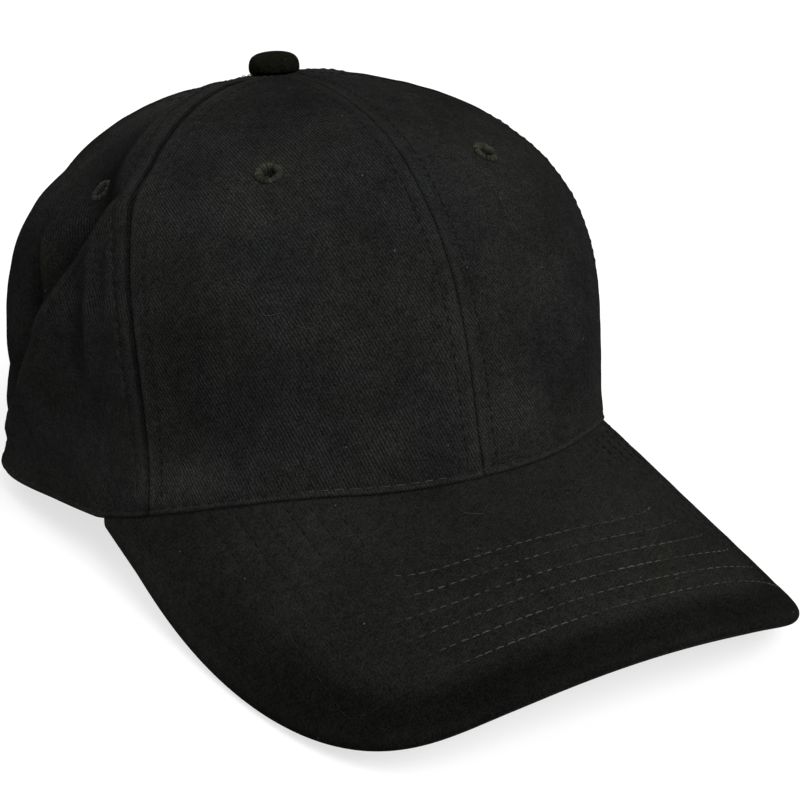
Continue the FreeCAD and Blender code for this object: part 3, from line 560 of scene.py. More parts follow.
def tubes(centres, sides_at, ups_at, radii, around=TUBE_SIDES):
    """Points, faces and UVs of many closed tubes.

    centres and the two directions across a tube are (tubes, rings, 3), radii (tubes, rings, 2).
    """
    count, rings = centres.shape[:2]
    turn = np.arange(around) / around * 2 * math.pi
    ring = (sides_at[:, :, None] * (np.cos(turn)[:, None] * radii[:, :, None, :1])
            + ups_at[:, :, None] * (np.sin(turn)[:, None] * radii[:, :, None, 1:]))
    points = centres[:, :, None] + ring
    quads = grid_quads(rings, around, wrap_rows=True)
    # each end closes with quads across the ring
    low = np.array([[0, k, k + 1, k + 2] for k in range(1, around - 2, 2)])
    high = low[:, ::-1] + (rings - 1) * around
    one = np.concatenate([quads, low, high])
    faces = (one[None] + np.arange(count)[:, None, None] * rings * around).reshape(-1, 4)
    run = along_path(centres.swapaxes(0, 1)).T
    uv = np.stack([np.broadcast_to(run[:, :, None], points.shape[:3]),
                   np.broadcast_to(turn / (2 * math.pi), points.shape[:3])], axis=-1)
    return points.reshape(-1, 3), faces, uv.reshape(-1, 2)


def stitches(path, normals, pitch, share=0.78, radius=0.19, lift=0.13, wear_and_highlight=0.0):
    """Short arched threads along a path, each dipping into the cloth at both ends.

    share is a thread's part of the pitch, and lift is how high its middle stands. worn is how
    pale the thread is at each point of the path.
    """
    run = along_path(path)
    count = max(int(run[-1] / pitch), 1)
    starts = (np.arange(count) + 0.13) * run[-1] / count
    starts = starts + rng.uniform(-STITCH_JITTER, STITCH_JITTER, count) * pitch
    rings = np.linspace(0, 1, 7)
    places = np.clip(starts[:, None] + rings * share * pitch, 0, run[-1])

    def sample(values):
        return np.stack([np.interp(places, run, values[:, axis]) for axis in range(3)], axis=-1)
    centres, ups = sample(path), unit(sample(normals))
    arc = np.sin(math.pi * rings)
    centres = centres + ups * (lift * arc - STITCH_DIP * (1 - arc))[None, :, None]
    ahead = unit(np.gradient(centres, axis=1))
    side = unit(np.cross(ahead, ups))
    girth = radius * (0.45 + 0.55 * np.sqrt(arc))
    size = rng.uniform(0.88, 1.12, (count, 1))
    radii = np.stack([girth * size, girth * 0.8 * size], axis=-1)
    points, faces, uv = tubes(centres, side, np.cross(side, ahead), radii)
    worn_here = np.interp(places.mean(axis=1), run, np.broadcast_to(wear_and_highlight, run.shape))
    return points, faces, uv, np.repeat(worn_here, len(points) // count)


def joined(name, parts):
    """One object from several parts: (points, faces, uv), and worn where the part has it."""
    starts = np.cumsum([0] + [len(part[0]) for part in parts])
    faces = np.concatenate([part[1] + start for part, start in zip(parts, starts)])
    points = np.concatenate([part[0] for part in parts])
    uv = np.concatenate([part[2] for part in parts])
    wear_and_highlight = np.concatenate([part[3] if len(part) > 3 else np.zeros(len(part[0])) for part in parts])
    return make_object(name, points, faces, uv, {"wear_and_highlight": wear_and_highlight})


def finish_piece(obj, material, body, replaces=()):
    obj.data.materials.append(material)
    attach(obj, body)
    if replaces:
        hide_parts(*replaces)
    return obj


# ---------------------------------------------------------------- materials


class Graph:
    """A material's node tree, built by short calls. place is the object's own coordinates."""

    def __init__(self, name):
        self.material = bpy.data.materials.new(name)
        self.material.use_nodes = True
        self.tree = self.material.node_tree
        self.tree.nodes.clear()
        self.place = self.node("TexCoord").outputs["Object"]

    def node(self, kind, inputs=None, **settings):
        """A new node. Each input is a value or another node's output."""
        node = self.tree.nodes.new("ShaderNode" + kind)
        for key, value in settings.items():
            setattr(node, key, value)
        for key, value in (inputs or {}).items():
            if isinstance(value, bpy.types.NodeSocket):
                self.tree.links.new(value, node.inputs[key])
            else:
                node.inputs[key].default_value = value
        return node

    def math(self, operation, first, second=0.0):
        return self.node("Math", {0: first, 1: second}, operation=operation).outputs[0]

    def plus(self, first, second):
        return self.math("ADD", first, second)

    def times(self, first, *others):
        for other in others:
            first = self.math("MULTIPLY", first, other)
        return first

    def remap(self, value, low, high, out_low, out_high):
        return self.node("MapRange", {"Value": value, "From Min": low, "From Max": high,
                                      "To Min": out_low, "To Max": out_high}).outputs[0]

    def wave(self, phase, low, high):
        return self.remap(self.math("COSINE", phase), -1, 1, low, high)

    def noise(self, scale, detail=2.0, roughness=0.5, vector=None):
        return self.node("TexNoise", {"Vector": vector or self.place, "Scale": scale, "Detail": detail,
                                      "Roughness": roughness}).outputs[0]

    def varied(self, noise, low, high, spread=0.2):
        """Noise as a factor from low to high. A smaller spread gives it more contrast."""
        return self.remap(noise, 0.5 - spread, 0.5 + spread, low, high)

    def mark(self, name):
        """What the mesh says of each point, such as how much wear it shows."""
        return self.node("Attribute", attribute_name=name).outputs["Fac"]

    def tint(self, colour, factor):
        """Colour multiplied by a grey factor."""
        return self.node("VectorMath", {0: colour, 1: factor}, operation="MULTIPLY").outputs[0]

    def blend(self, low, high, factor):
        return self.node("Mix", {"Factor": factor, 6: low, 7: high}, data_type="RGBA").outputs[2]

    def bump(self, height, distance, strength):
        return self.node("Bump", {"Strength": strength, "Distance": distance, "Height": height}).outputs[0]

    def cloth_axes(self):
        """Cloth coordinates in millimetres, across and up."""
        axes = self.node("SeparateXYZ", {0: self.node("UVMap", uv_map=CLOTH_UV).outputs[0]})
        return axes.outputs[0], axes.outputs[1]

    def finish(self, **surface):
        """The material, with the Principled shader's inputs named in lower case."""
        inputs = {key.replace("_", " ").title().replace("Ior", "IOR"): value
                  for key, value in surface.items()}
        shader = self.node("BsdfPrincipled", inputs)
        self.node("OutputMaterial", {"Surface": shader.outputs[0]})
        return self.material


def rgb(red, green, blue):
    return (red, green, blue, 1.0)


LINT_COLOUR = rgb(0.05, 0.05, 0.046)


def twill(name, colour, faded, pitch=0.86, lean=64.0, ribs=0.85, grain=0.5, fade=0.3, relief=0.5,
          specks=0.3):
    """Brushed cotton twill: steep diagonal ribs that the nap hides in patches, fading, and lint.

    faded is the colour of its paler, dustier patches. ribs and grain are the contrasts of the
    diagonal lines and of the nap. pitch is the distance between ribs in millimetres.
    """
    graph = Graph(name)
    x, y = graph.cloth_axes()
    angle = math.radians(lean)
    across = graph.plus(graph.times(x, math.sin(angle)), graph.times(y, math.cos(angle)))
    along = graph.math("SUBTRACT", graph.times(x, math.cos(angle)), graph.times(y, math.sin(angle)))
    wobble = graph.times(graph.noise(170.0), 2.2)
    phase = graph.plus(graph.times(across, 2 * math.pi / pitch), wobble)
    step = graph.plus(graph.times(along, 2 * math.pi / (pitch * 2.1)), graph.times(phase, 0.5))
    nap = graph.noise(1900.0, 3.0, 0.75)
    brushed = graph.noise(60.0, 3.0, 0.6)
    weave = graph.times(graph.wave(phase, 0, 1), graph.wave(step, 0.8, 1),
                        graph.remap(brushed, 0.36, 0.62, 0.5, 1.0))

    shade = graph.times(graph.plus(graph.times(weave, ribs), 1.0 - 0.4 * ribs),
                        graph.varied(nap, 1 - grain, 1 + grain, spread=0.13),
                        graph.varied(graph.noise(420.0, 3.0, 0.6), 0.86, 1.14, spread=0.14),
                        graph.varied(graph.noise(15.0, 3.0, 0.55), 1 - fade / 2, 1 + fade / 2))
    # paler with wear, and along the crown's fold crests with a painted highlight
    shade = graph.plus(shade, graph.times(graph.mark("wear_and_highlight"), 0.16))
    # painted shade from the mesh's mark, and painted light where that mark is below zero
    shade = graph.times(shade, graph.math("SUBTRACT", 1.0, graph.mark("painted_shade_and_light")))
    patches = graph.remap(graph.noise(24.0, 3.0, 0.6), 0.42, 0.6, 0.0, 1.0)
    base = graph.tint(graph.blend(rgb(*colour), rgb(*faded), patches), shade)

    # lint: a pale dot in a few of the cells that the nap is divided into
    cells = graph.node("TexVoronoi", {"Vector": graph.place, "Scale": 420.0, "Randomness": 1.0})
    dot = graph.math("LESS_THAN", cells.outputs["Distance"], 0.10)
    draw = graph.node("SeparateColor", {0: cells.outputs["Color"]}).outputs[0]
    rare = graph.math("GREATER_THAN", draw, 1.0 - 0.06 * specks)
    base = graph.blend(base, LINT_COLOUR, graph.times(dot, rare))

    height = graph.plus(graph.times(weave, relief), graph.times(nap, 0.6))
    return graph.finish(base_color=base, roughness=graph.varied(brushed, 0.86, 0.98),
                        normal=graph.bump(height, 0.00022, 0.5), specular_ior_level=0.0)


def thread_material(name, colour, worn_colour=None):
    """Twisted sewing thread: a slanting ply line down each stitch, paler where it shows wear."""
    graph = Graph(name)
    x, y = graph.cloth_axes()
    ply = graph.wave(graph.plus(graph.times(x, 9.0), graph.times(y, 2 * math.pi)), 0, 1)
    shade = graph.times(graph.remap(ply, 0, 1, 0.7, 1.15), graph.varied(graph.noise(300.0), 0.7, 1.3))
    patches = graph.noise(70.0, 3.0, 0.6)
    pale = graph.times(graph.mark("wear_and_highlight"), graph.remap(patches, 0.38, 0.6, 0.3, 1.0))
    base = graph.blend(rgb(*colour), rgb(*(worn_colour or colour)), pale)
    return graph.finish(base_color=graph.tint(base, shade), roughness=0.7,
                        normal=graph.bump(ply, 0.0001, 0.5), specular_ior_level=0.02)


def tape_material(name, colour, pitch=1.1):
    """Herringbone tape: ribs that turn back at every stripe."""
    graph = Graph(name)
    x, y = graph.cloth_axes()
    zigzag = graph.math("PINGPONG", x, 2.5)
    rib = graph.wave(graph.times(graph.plus(zigzag, y), 2 * math.pi / pitch), 0, 1)
    shade = graph.times(graph.remap(rib, 0, 1, 0.72, 1.2),
                        graph.varied(graph.noise(600.0, 3.0), 0.75, 1.25))
    return graph.finish(base_color=graph.tint(colour, shade), roughness=0.85,
                        normal=graph.bump(rib, 0.0002, 0.6), sheen_weight=0.02, sheen_roughness=0.5,
                        specular_ior_level=0.2)


def mesh_cloth_material(name, colour, pitch=1.3):
    """Stiffened open weave: a square net of yarns with darker gaps filled by dressing."""
    graph = Graph(name)
    yarns = [graph.wave(graph.times(axis, 2 * math.pi / pitch), 0, 1) for axis in graph.cloth_axes()]
    net = graph.math("MAXIMUM", *yarns)
    shade = graph.times(graph.remap(net, 0.2, 1, 0.45, 1.1),
                        graph.varied(graph.noise(90.0, 3.0), 0.85, 1.1))
    return graph.finish(base_color=graph.tint(colour, shade), roughness=0.8,
                        normal=graph.bump(net, 0.0003, 0.7), specular_ior_level=0.25)


def felt_material(name, colour):
    """Matted fibres in soft tufts."""
    graph = Graph(name)
    fibres = graph.noise(900.0, 4.0, 0.75)
    shade = graph.times(graph.varied(fibres, 0.6, 1.35), graph.varied(graph.noise(120.0, 3.0), 0.85, 1.15))
    return graph.finish(base_color=graph.tint(colour, shade), roughness=0.96,
                        normal=graph.bump(fibres, 0.0004, 0.7), sheen_weight=0.02)


def satin_material(name, colour, pitch=0.35):
    """Woven satin label: fine floats across, with a faint lustre."""
    graph = Graph(name)
    _, y = graph.cloth_axes()
    floats = graph.wave(graph.times(y, 2 * math.pi / pitch), 0, 1)
    shade = graph.times(graph.remap(floats, 0, 1, 0.9, 1.03), graph.varied(graph.noise(250.0), 0.94, 1.04))
    return graph.finish(base_color=graph.tint(colour, shade), roughness=0.45,
                        normal=graph.bump(floats, 0.0001, 0.3), sheen_weight=0.02, anisotropic=0.5)


def metal_material(name, colour, rough, tarnish):
    """Plated metal with fine brushing and darker tarnish in patches."""
    graph = Graph(name)
    stretched = graph.node("Mapping", {"Vector": graph.place, "Scale": (60.0, 60.0, 2600.0)}).outputs[0]
    brushing = graph.noise(1.0, vector=stretched)
    patches = graph.noise(260.0, 4.0, 0.65)
    base = graph.blend(rgb(*colour), rgb(*tarnish), graph.remap(patches, 0.42, 0.62, 0.0, 1.0))
    roughness = graph.plus(graph.varied(patches, rough - 0.06, rough + 0.16), graph.times(brushing, 0.08))
    return graph.finish(base_color=base, metallic=1.0, roughness=roughness,
                        normal=graph.bump(brushing, 0.00005, 0.25))


def plastic_material(name, colour):
    """Moulded board plastic with a fine grain."""
    graph = Graph(name)
    grain = graph.noise(1500.0, 3.0)
    shade = graph.varied(graph.noise(30.0), 0.9, 1.1)
    return graph.finish(base_color=graph.tint(colour, shade), roughness=graph.varied(grain, 0.4, 0.6),
                        normal=graph.bump(grain, 0.0001, 0.3))


crown_cloth = twill("crown_twill", (0.0094, 0.0096, 0.0096), (0.0108, 0.0109, 0.0100))
visor_cloth = twill("visor_twill", (0.0086, 0.0088, 0.0082), (0.0098, 0.0100, 0.0088), pitch=0.8, lean=40.0,
                    ribs=0.22, relief=0.3, grain=0.5, fade=0.34, specks=0.8)
strap_cloth = twill("strap_twill", (0.0094, 0.0095, 0.0096), (0.0108, 0.0108, 0.0102), lean=45.0)
button_cloth = twill("button_twill", (0.0046, 0.0047, 0.0036), (0.0060, 0.0062, 0.0040), lean=45.0, ribs=0.2,
                     specks=0.2)
seam_thread = thread_material("seam_thread", (0.0062, 0.0062, 0.0063), (0.034, 0.034, 0.031))
visor_thread = thread_material("visor_thread", (0.0066, 0.0067, 0.0063), (0.046, 0.047, 0.042))
eyelet_thread = thread_material("eyelet_thread", (0.012, 0.013, 0.010), (0.036, 0.039, 0.028))
inside_thread = thread_material("inside_thread", (0.03, 0.03, 0.03))
tape_cloth = tape_material("seam_tape", (0.016, 0.016, 0.017))
buckram_cloth = mesh_cloth_material("buckram_mesh", (0.72, 0.72, 0.68))
sweatband_cloth = twill("sweatband_cotton", (0.015, 0.015, 0.016), (0.017, 0.017, 0.017), pitch=0.7,
                        lean=45.0, relief=0.3, specks=0.0)
lining_cloth = felt_material("lining_felt", (0.02, 0.02, 0.021))
label_cloth = satin_material("label_satin", (0.78, 0.78, 0.75))
lint_fibre = thread_material("lint_fibre", (0.032, 0.032, 0.027))
clasp_metal = metal_material("clasp_metal", (0.36, 0.34, 0.29), 0.34, (0.25, 0.23, 0.19))
rivet_metal = metal_material("rivet_metal", (0.52, 0.50, 0.46), 0.36, (0.24, 0.22, 0.19))
button_metal = metal_material("button_metal", (0.45, 0.44, 0.42), 0.4, (0.2, 0.19, 0.17))
board_plastic = plastic_material("board_plastic", (0.05, 0.05, 0.052))

# ---------------------------------------------------------------- crown: panels

PANEL_COLUMNS, PANEL_ROWS = 140, 150


def eyelet_hole(name, angle, rise, radius):
    """Which of a grid's quads lie in an eyelet's hole."""
    degrees, height = EYELETS[name]
    centre = crown_point(np.array(math.radians(degrees)), np.array(height))
    return np.linalg.norm(crown_point(angle, rise)[:-1, :-1] - centre, axis=-1) < radius


def arch_outline(count):
    """(angle, rise) along the left half of the rear opening, from the hem up to its top."""
    share = np.linspace(0, 1, count)
    leg = ARCH_CENTRE_HEIGHT / (ARCH_CENTRE_HEIGHT + ARCH_RADIUS * math.pi / 2)
    turn = np.clip((share - leg) / (1 - leg), 0, 1) * math.pi / 2
    across = ARCH_RADIUS * np.cos(turn)
    height = np.where(share < leg, ARCH_CENTRE_HEIGHT * share / leg,
                      ARCH_CENTRE_HEIGHT + ARCH_RADIUS * np.sin(turn))
    return find_on_crown(across, height)


def panel_lattice(panel, hand):
    """(angle, rise) of a panel's grid, columns running towards the wearer's left."""
    share = crowded(PANEL_COLUMNS, 0.85)
    climb = crowded(PANEL_ROWS, 0.35)
    first, last = PANELS[panel]
    if panel != "back":
        share, rise = np.meshgrid(share, climb * TOP_HOLE_RISE, indexing="ij")
        angle = mix(seam_angle(first, rise), seam_angle(last, rise), share)
    else:
        # the lower edge runs along the hem and then up round the rear opening
        arch_angle, arch_rise = arch_outline(90)
        hem_part = np.linspace(math.radians(SEAM_ANGLES[first]), arch_angle[0], 60)[:-1]
        low_angle = np.concatenate([hem_part, arch_angle])
        low_rise = np.concatenate([np.zeros(len(hem_part)), arch_rise])
        run = along_path(crown_point(low_angle, low_rise))
        places = share * run[-1]
        low_angle = np.interp(places, run, low_angle)[:, None]
        low_rise = np.interp(places, run, low_rise)[:, None]
        top = TOP_HOLE_RISE
        high_angle = mix(seam_angle(first, top), seam_angle(last, top), share)[:, None]
        rise = mix(low_rise, top, climb[None, :])
        straight = mix(seam_angle(first, 0.0), seam_angle(first, top), climb[None, :])
        bend = (seam_angle(first, rise) - straight) * (1 - share)[:, None]
        angle = mix(low_angle, high_angle, climb[None, :]) + bend
    if hand < 0:
        angle, rise = -angle[::-1], rise[::-1]
    return angle, rise


def make_panel(panel, side):
    angle, rise = panel_lattice(panel, SIDES[side])
    outer = crown_surface(angle, rise)
    outer[..., 2] += HEM_CLEARANCE * (1 - smooth_step(rise, 0.0, 0.02))
    inner = inner_surface(angle, rise, -PANEL_THICKNESS)
    _, wear_and_highlight = panel_relief(angle, rise)
    holes = eyelet_hole(f"{panel}_{side}", angle, rise, PANEL_HOLE_RADIUS)
    name = f"{panel}_panel_{side}"
    obj = cloth_object(name + "_cloth", outer, inner, cloth_uv(smoothed(outer)),
                       crown_marks(angle, rise, wear_and_highlight), holes)
    finish_piece(obj, crown_cloth, "cap", [name])


def smoothed(points):
    """Smoothed copy of a grid, so that cloth coordinates ignore its small relief."""
    smooth = points.copy()
    for _ in range(4):
        smooth[1:-1, 1:-1] = (smooth[:-2, 1:-1] + smooth[2:, 1:-1]
                              + smooth[1:-1, :-2] + smooth[1:-1, 2:]) / 4
    return smooth


for panel_name in PANELS:
    for side_name in SIDES:
        make_panel(panel_name, side_name)

# ---------------------------------------------------------------- crown: stiffener, tapes, band


def layer_object(name, angle, rise, depths, holes=None):
    """Cloth between two depths below the panels' outer face."""
    near, far = depths
    outer = inner_surface(angle, rise, -near)
    return cloth_object(name, outer, inner_surface(angle, rise, -far), cloth_uv(outer), None, holes)


def make_buckram():
    for side, hand in SIDES.items():
        share, rise = np.meshgrid(np.linspace(0, 1, 60), np.linspace(0.02, 0.92, 80), indexing="ij")
        inset = 1.0 / crown_radius(np.zeros(rise.shape), rise)
        angle = hand * mix(inset, seam_angle("front_side", rise) - inset, share if hand > 0 else 1 - share)
        holes = eyelet_hole(f"front_{side}", angle, rise, BUCKRAM_HOLE_RADIUS)
        obj = layer_object(f"buckram_{side}_cloth", angle, rise, BUCKRAM_DEPTHS, holes)
        finish_piece(obj, buckram_cloth, "cap", [f"buckram_{side}"])


def low_on_seam(seam, above_arch, otherwise):
    """Rise where something along a seam starts: the rear centre seam starts above the opening."""
    if seam != "rear_centre":
        return otherwise
    return float(find_on_crown(0.0, ARCH_CENTRE_HEIGHT + ARCH_RADIUS + above_arch)[1])


def make_seam_tapes():
    parts = []
    for seam in SEAM_ANGLES:
        for side, hand in SIDES.items():
            centre_seam = seam.endswith("centre")
            if centre_seam and side == "right":
                continue
            label = f"seam_tape_{seam}" + ("" if centre_seam else f"_{side}")
            low = low_on_seam(seam, ARCH_TAPE_WIDTH + 1, 0.02)
            share, rise = np.meshgrid(np.linspace(-0.5, 0.5, 13), np.linspace(low, 0.93, 90), indexing="ij")
            middle = hand * seam_angle(seam, rise)
            angle = middle + share * SEAM_TAPE_WIDTH / crown_radius(middle, rise)
            cockle = 0.12 * np.abs(waves(crown_point(angle, rise), 14.0, 9))
            depths = [depth + cockle for depth in SEAM_TAPE_DEPTHS]
            obj = layer_object(label + "_cloth", angle, rise, depths)
            finish_piece(obj, tape_cloth, "cap", [label])
            for edge, inward in ((0, 1.2), (-1, -1.2)):
                path_angle = angle[edge] + inward / crown_radius(angle[edge], rise[edge])
                path = inner_surface(path_angle, rise[edge], -3.0)
                parts.append(stitches(path, -crown_normal(path_angle, rise[edge]), SEAM_STITCH_PITCH))
    finish_piece(joined("tape_stitching", parts), inside_thread, "cap")


def arch_band(offset):
    """(angle, rise) along the whole rear opening, at an offset outwards from its outline."""
    turn = np.linspace(0, math.pi, 120)
    radius = ARCH_RADIUS + offset
    leg = np.linspace(0.3, ARCH_CENTRE_HEIGHT, 6)[:-1]
    across = np.concatenate([np.full(5, radius), radius * np.cos(turn), np.full(5, -radius)])
    height = np.concatenate([leg, ARCH_CENTRE_HEIGHT + radius * np.sin(turn), leg[::-1]])
    return find_on_crown(across, height)


def make_arch_tape():
    offsets = np.linspace(0.3, ARCH_TAPE_WIDTH, 9)
    angle, rise = np.stack([arch_band(offset) for offset in offsets], axis=2)[:, ::-1]
    obj = layer_object("arch_tape_cloth", angle, rise, ARCH_TAPE_DEPTHS)
    finish_piece(obj, tape_cloth, "cap", ["arch_tape"])
    parts = []
    for offset in ARCH_STITCH_OFFSETS:
        path = arch_band(offset)
        normal = crown_normal(*path)
        parts.append(stitches(inner_surface(*path, -1.9), -normal, SEAM_STITCH_PITCH))
        parts.append(stitches(crown_surface(*path, 0.03), normal, SEAM_STITCH_PITCH))
    finish_piece(joined("arch_stitching", parts), seam_thread, "cap")


# The sweatband is SWEATBAND_RUN high along its own cloth. Its relief is laid out on a height of
# SWEATBAND_HEIGHT, which stretches with it.
SWEATBAND_END, SWEATBAND_HEIGHT, SWEATBAND_RUN, SWEATBAND_THICKNESS = 146.0, 32.0, 42.4, 1.4
SWEATBAND_TOP_RISE, SWEATBAND_DEPTHS, SWEATBAND_OVERLAP = 0.275, (4.3, 6.1), 2.0
SWEATBAND_STITCH_INSET, SWEATBAND_STITCH_PITCH = 3.0, 3.4


def sweatband_point(angle, climb, lift=0.0):
    """Point of the sweatband's outer face. climb runs from its folded lower edge (0) to its top (1)."""
    deeper = smooth_step(from_front(angle), math.radians(90), math.radians(115))
    depth = mix(*SWEATBAND_DEPTHS, deeper)
    rise = SWEATBAND_TOP_RISE * climb
    point = crown_point(angle, rise, False) + crown_normal(angle, rise, False) * (lift - depth)[..., None]
    behind_visor = 1 - smooth_step(from_front(angle), math.radians(60), math.radians(90))
    point[..., 2] -= SWEATBAND_OVERLAP * (1 - climb) * behind_visor
    return point


def make_sweatband():
    end = math.radians(SWEATBAND_END)
    angle, climb = np.meshgrid(np.linspace(-end, end, 420), crowded(36, 0.6), indexing="ij")
    run = angle * RING_HALF_WIDTH
    height = climb * SWEATBAND_HEIGHT
    stitch_top = SWEATBAND_HEIGHT - SWEATBAND_STITCH_INSET
    rounded = edge_fall(np.minimum(height, SWEATBAND_HEIGHT - height), 0.65)
    pucker = 0.14 * np.sin(run * 1.1 + 1.3 * np.sin(run * 0.23)) * bell(height - 4.0, 5.0)
    seamed = 0.3 * bell(height - SWEATBAND_STITCH_INSET, 0.6) + 0.2 * bell(height - stitch_top, 0.6)
    outer = sweatband_point(angle, climb, -rounded)
    inner = sweatband_point(angle, climb, -SWEATBAND_THICKNESS + rounded + pucker + seamed)
    obj = cloth_object("sweatband_cloth", outer, inner, cloth_uv(outer))
    finish_piece(obj, sweatband_cloth, "cap", ["sweatband"])
    parts = []
    line = np.linspace(-end * 0.99, end * 0.99, 700)
    normal = -crown_normal(line, np.full(line.shape, 0.15), False)
    for stitch_height in (SWEATBAND_STITCH_INSET, stitch_top):
        place = np.full(line.shape, stitch_height / SWEATBAND_HEIGHT)
        path = sweatband_point(line, place, np.full(line.shape, -SWEATBAND_THICKNESS))
        parts.append(stitches(path, normal, SWEATBAND_STITCH_PITCH))
    finish_piece(joined("sweatband_stitching", parts), inside_thread, "cap")


def make_lining():
    end = math.radians(72.0)
    angle, rise = np.meshgrid(np.linspace(-end, end, 160), np.linspace(0.0, 0.23, 20), indexing="ij")
    obj = layer_object("sweatband_lining_felt", angle, rise, LINING_DEPTHS)
    finish_piece(obj, lining_cloth, "cap", ["sweatband_lining"])


LABEL_ANGLE, LABEL_WIDTH, LABEL_HEIGHT, LABEL_THICKNESS = 118.0, 25.3, 25.2, 0.3
LABEL_CURVE_RADIUS, LABEL_TOP, LABEL_GAP = 1.054 * RING_HALF_WIDTH, 0.9, 0.25


def make_label():
    """Blank woven label, sewn along its top and free below, with its lower edge curling out."""
    half = LABEL_WIDTH / 2 / LABEL_CURVE_RADIUS
    middle = math.radians(LABEL_ANGLE)
    angle, share = np.meshgrid(np.linspace(middle - half, middle + half, 40), np.linspace(0, 1, 30),
                               indexing="ij")
    climb = mix(LABEL_TOP - LABEL_HEIGHT / SWEATBAND_RUN, LABEL_TOP, share)
    curl = 0.9 * (1 - share) ** 2 + 0.25 * np.sin((angle - middle) / half * 3.0) * (1 - share)
    lift = -SWEATBAND_THICKNESS - LABEL_GAP - curl
    outer = sweatband_point(angle, climb, lift)
    inner = sweatband_point(angle, climb, lift - LABEL_THICKNESS)
    obj = cloth_object("care_label_satin", outer, inner, cloth_uv(outer))
    finish_piece(obj, label_cloth, "cap", ["care_label"])
    seam = (slice(2, -2), -2)
    path = sweatband_point(angle[seam], climb[seam], lift[seam] - LABEL_THICKNESS)
    normal = -crown_normal(angle[seam], climb[seam] * 0.27, False)
    thread = joined("label_stitching", [stitches(path, normal, 2.2, radius=0.16)])
    finish_piece(thread, inside_thread, "cap")


make_buckram()
make_seam_tapes()
make_arch_tape()
make_sweatband()
make_lining()
make_label()

# ---------------------------------------------------------------- crown: stitching


def seam_stitching():
    """A row of topstitching on each side of every seam."""
    parts = []
    for seam in SEAM_ANGLES:
        for hand in SIDES.values():
            for beside in (-1, 1):
                if seam.endswith("centre") and hand * beside < 0:
                    continue
                rise = np.linspace(low_on_seam(seam, 1.5, 0.035), 0.955, 400)
                centre = hand * seam_angle(seam, rise)
                spacing = np.minimum(SEAM_STITCH_OFFSET, 0.36 * crown_radius(centre, rise))
                angle = centre + beside * spacing / crown_radius(centre, rise)
                path = crown_surface(angle, rise, 0.02)
                # the thread is paler on the wearer's right: low on the side panel, high in front
                wear_and_highlight = 0.0
                if seam == "front_side" and hand < 0:
                    wear_and_highlight = 0.7 * bell(rise - 0.06, 0.08) if beside < 0 else 0.4 * bell(rise - 0.57, 0.11)
                parts.append(stitches(path, crown_normal(angle, rise), SEAM_STITCH_PITCH, wear_and_highlight=wear_and_highlight))
    return parts


def hem_stitching():
    foot = find_on_crown(ARCH_RADIUS + 1.0, 1.0)[0]
    angle = np.linspace(-float(foot), float(foot), 1400)
    rise = np.full(angle.shape, 0.02)
    for _ in range(12):
        rise = rise * HEM_STITCH_HEIGHT / above_hem(crown_point(angle, rise), angle)
    path = crown_surface(angle, rise, 0.02)
    wear_and_highlight = 0.02 + 0.75 * bell(turned(angle, -17.0) / math.radians(17.0), 1)
    return stitches(path, crown_normal(angle, rise), HEM_STITCH_PITCH, share=0.72, radius=0.2, lift=0.18,
                    wear_and_highlight=wear_and_highlight)




finish_piece(joined("seam_stitching", seam_stitching()), seam_thread, "cap")
finish_piece(joined("hem_stitching", [hem_stitching()]), visor_thread, "cap")

# ---------------------------------------------------------------- eyelets and button


def make_eyelet(name):
    """Embroidered eyelet: satin-stitch threads wrapped round the cloth at a small hole."""
    degrees, rise = EYELETS[name]
    angle, rise = np.array(math.radians(degrees)), np.array(rise)
    normal = shaped_normal(angle, rise)
    centre = inner_surface(angle, rise, 0.0)
    side = unit(np.cross(np.array([0.0, 0.0, 1.0]), normal))
    up = np.cross(normal, side)
    through = 2.0 if name.startswith("front") else 1.2
    # one thread's loop as (distance from the hole's middle, height above the cloth)
    loop = np.array([(3.75, 0.0), (3.4, 0.36), (2.9, 0.55), (2.4, 0.48), (2.0, 0.15), (1.85, -0.5),
                     (1.85, -through + 0.2), (2.1, -through - 0.3), (2.6, -through - 0.5),
                     (3.2, -through - 0.4), (3.7, -through - 0.1)])
    count = 44
    turn = (np.arange(count) + rng.uniform(-0.3, 0.3, count)) / count * 2 * math.pi
    spokes = side * np.cos(turn)[:, None] + up * np.sin(turn)[:, None]
    reach = 1 + rng.uniform(-0.07, 0.05, count)[:, None]
    radius = np.where(loop[:, 0] < 2.2, loop[:, 0], loop[:, 0] * reach)
    lift = loop[None, :, 1:2] * rng.uniform(0.8, 1.25, (count, 1, 1))
    centres = centre + spokes[:, None] * radius[..., None] + normal * lift
    ahead = unit(np.gradient(centres, axis=1))
    around = np.broadcast_to(np.cross(normal, spokes)[:, None], ahead.shape)
    girth = np.clip(radius * math.pi / count * 1.2, 0.13, 0.27)
    radii = np.stack([girth, girth * 0.8], axis=-1)
    wear_and_highlight = np.repeat(rng.uniform(0, 1, count), len(loop) * 6)
    parts = [tubes(centres, around, np.cross(around, ahead), radii) + (wear_and_highlight,)]
    obj = joined(f"eyelet_{name}_threads", parts)
    return finish_piece(obj, eyelet_thread, "cap", [f"eyelet_{name}"])


for eyelet_name in EYELETS:
    make_eyelet(eyelet_name)


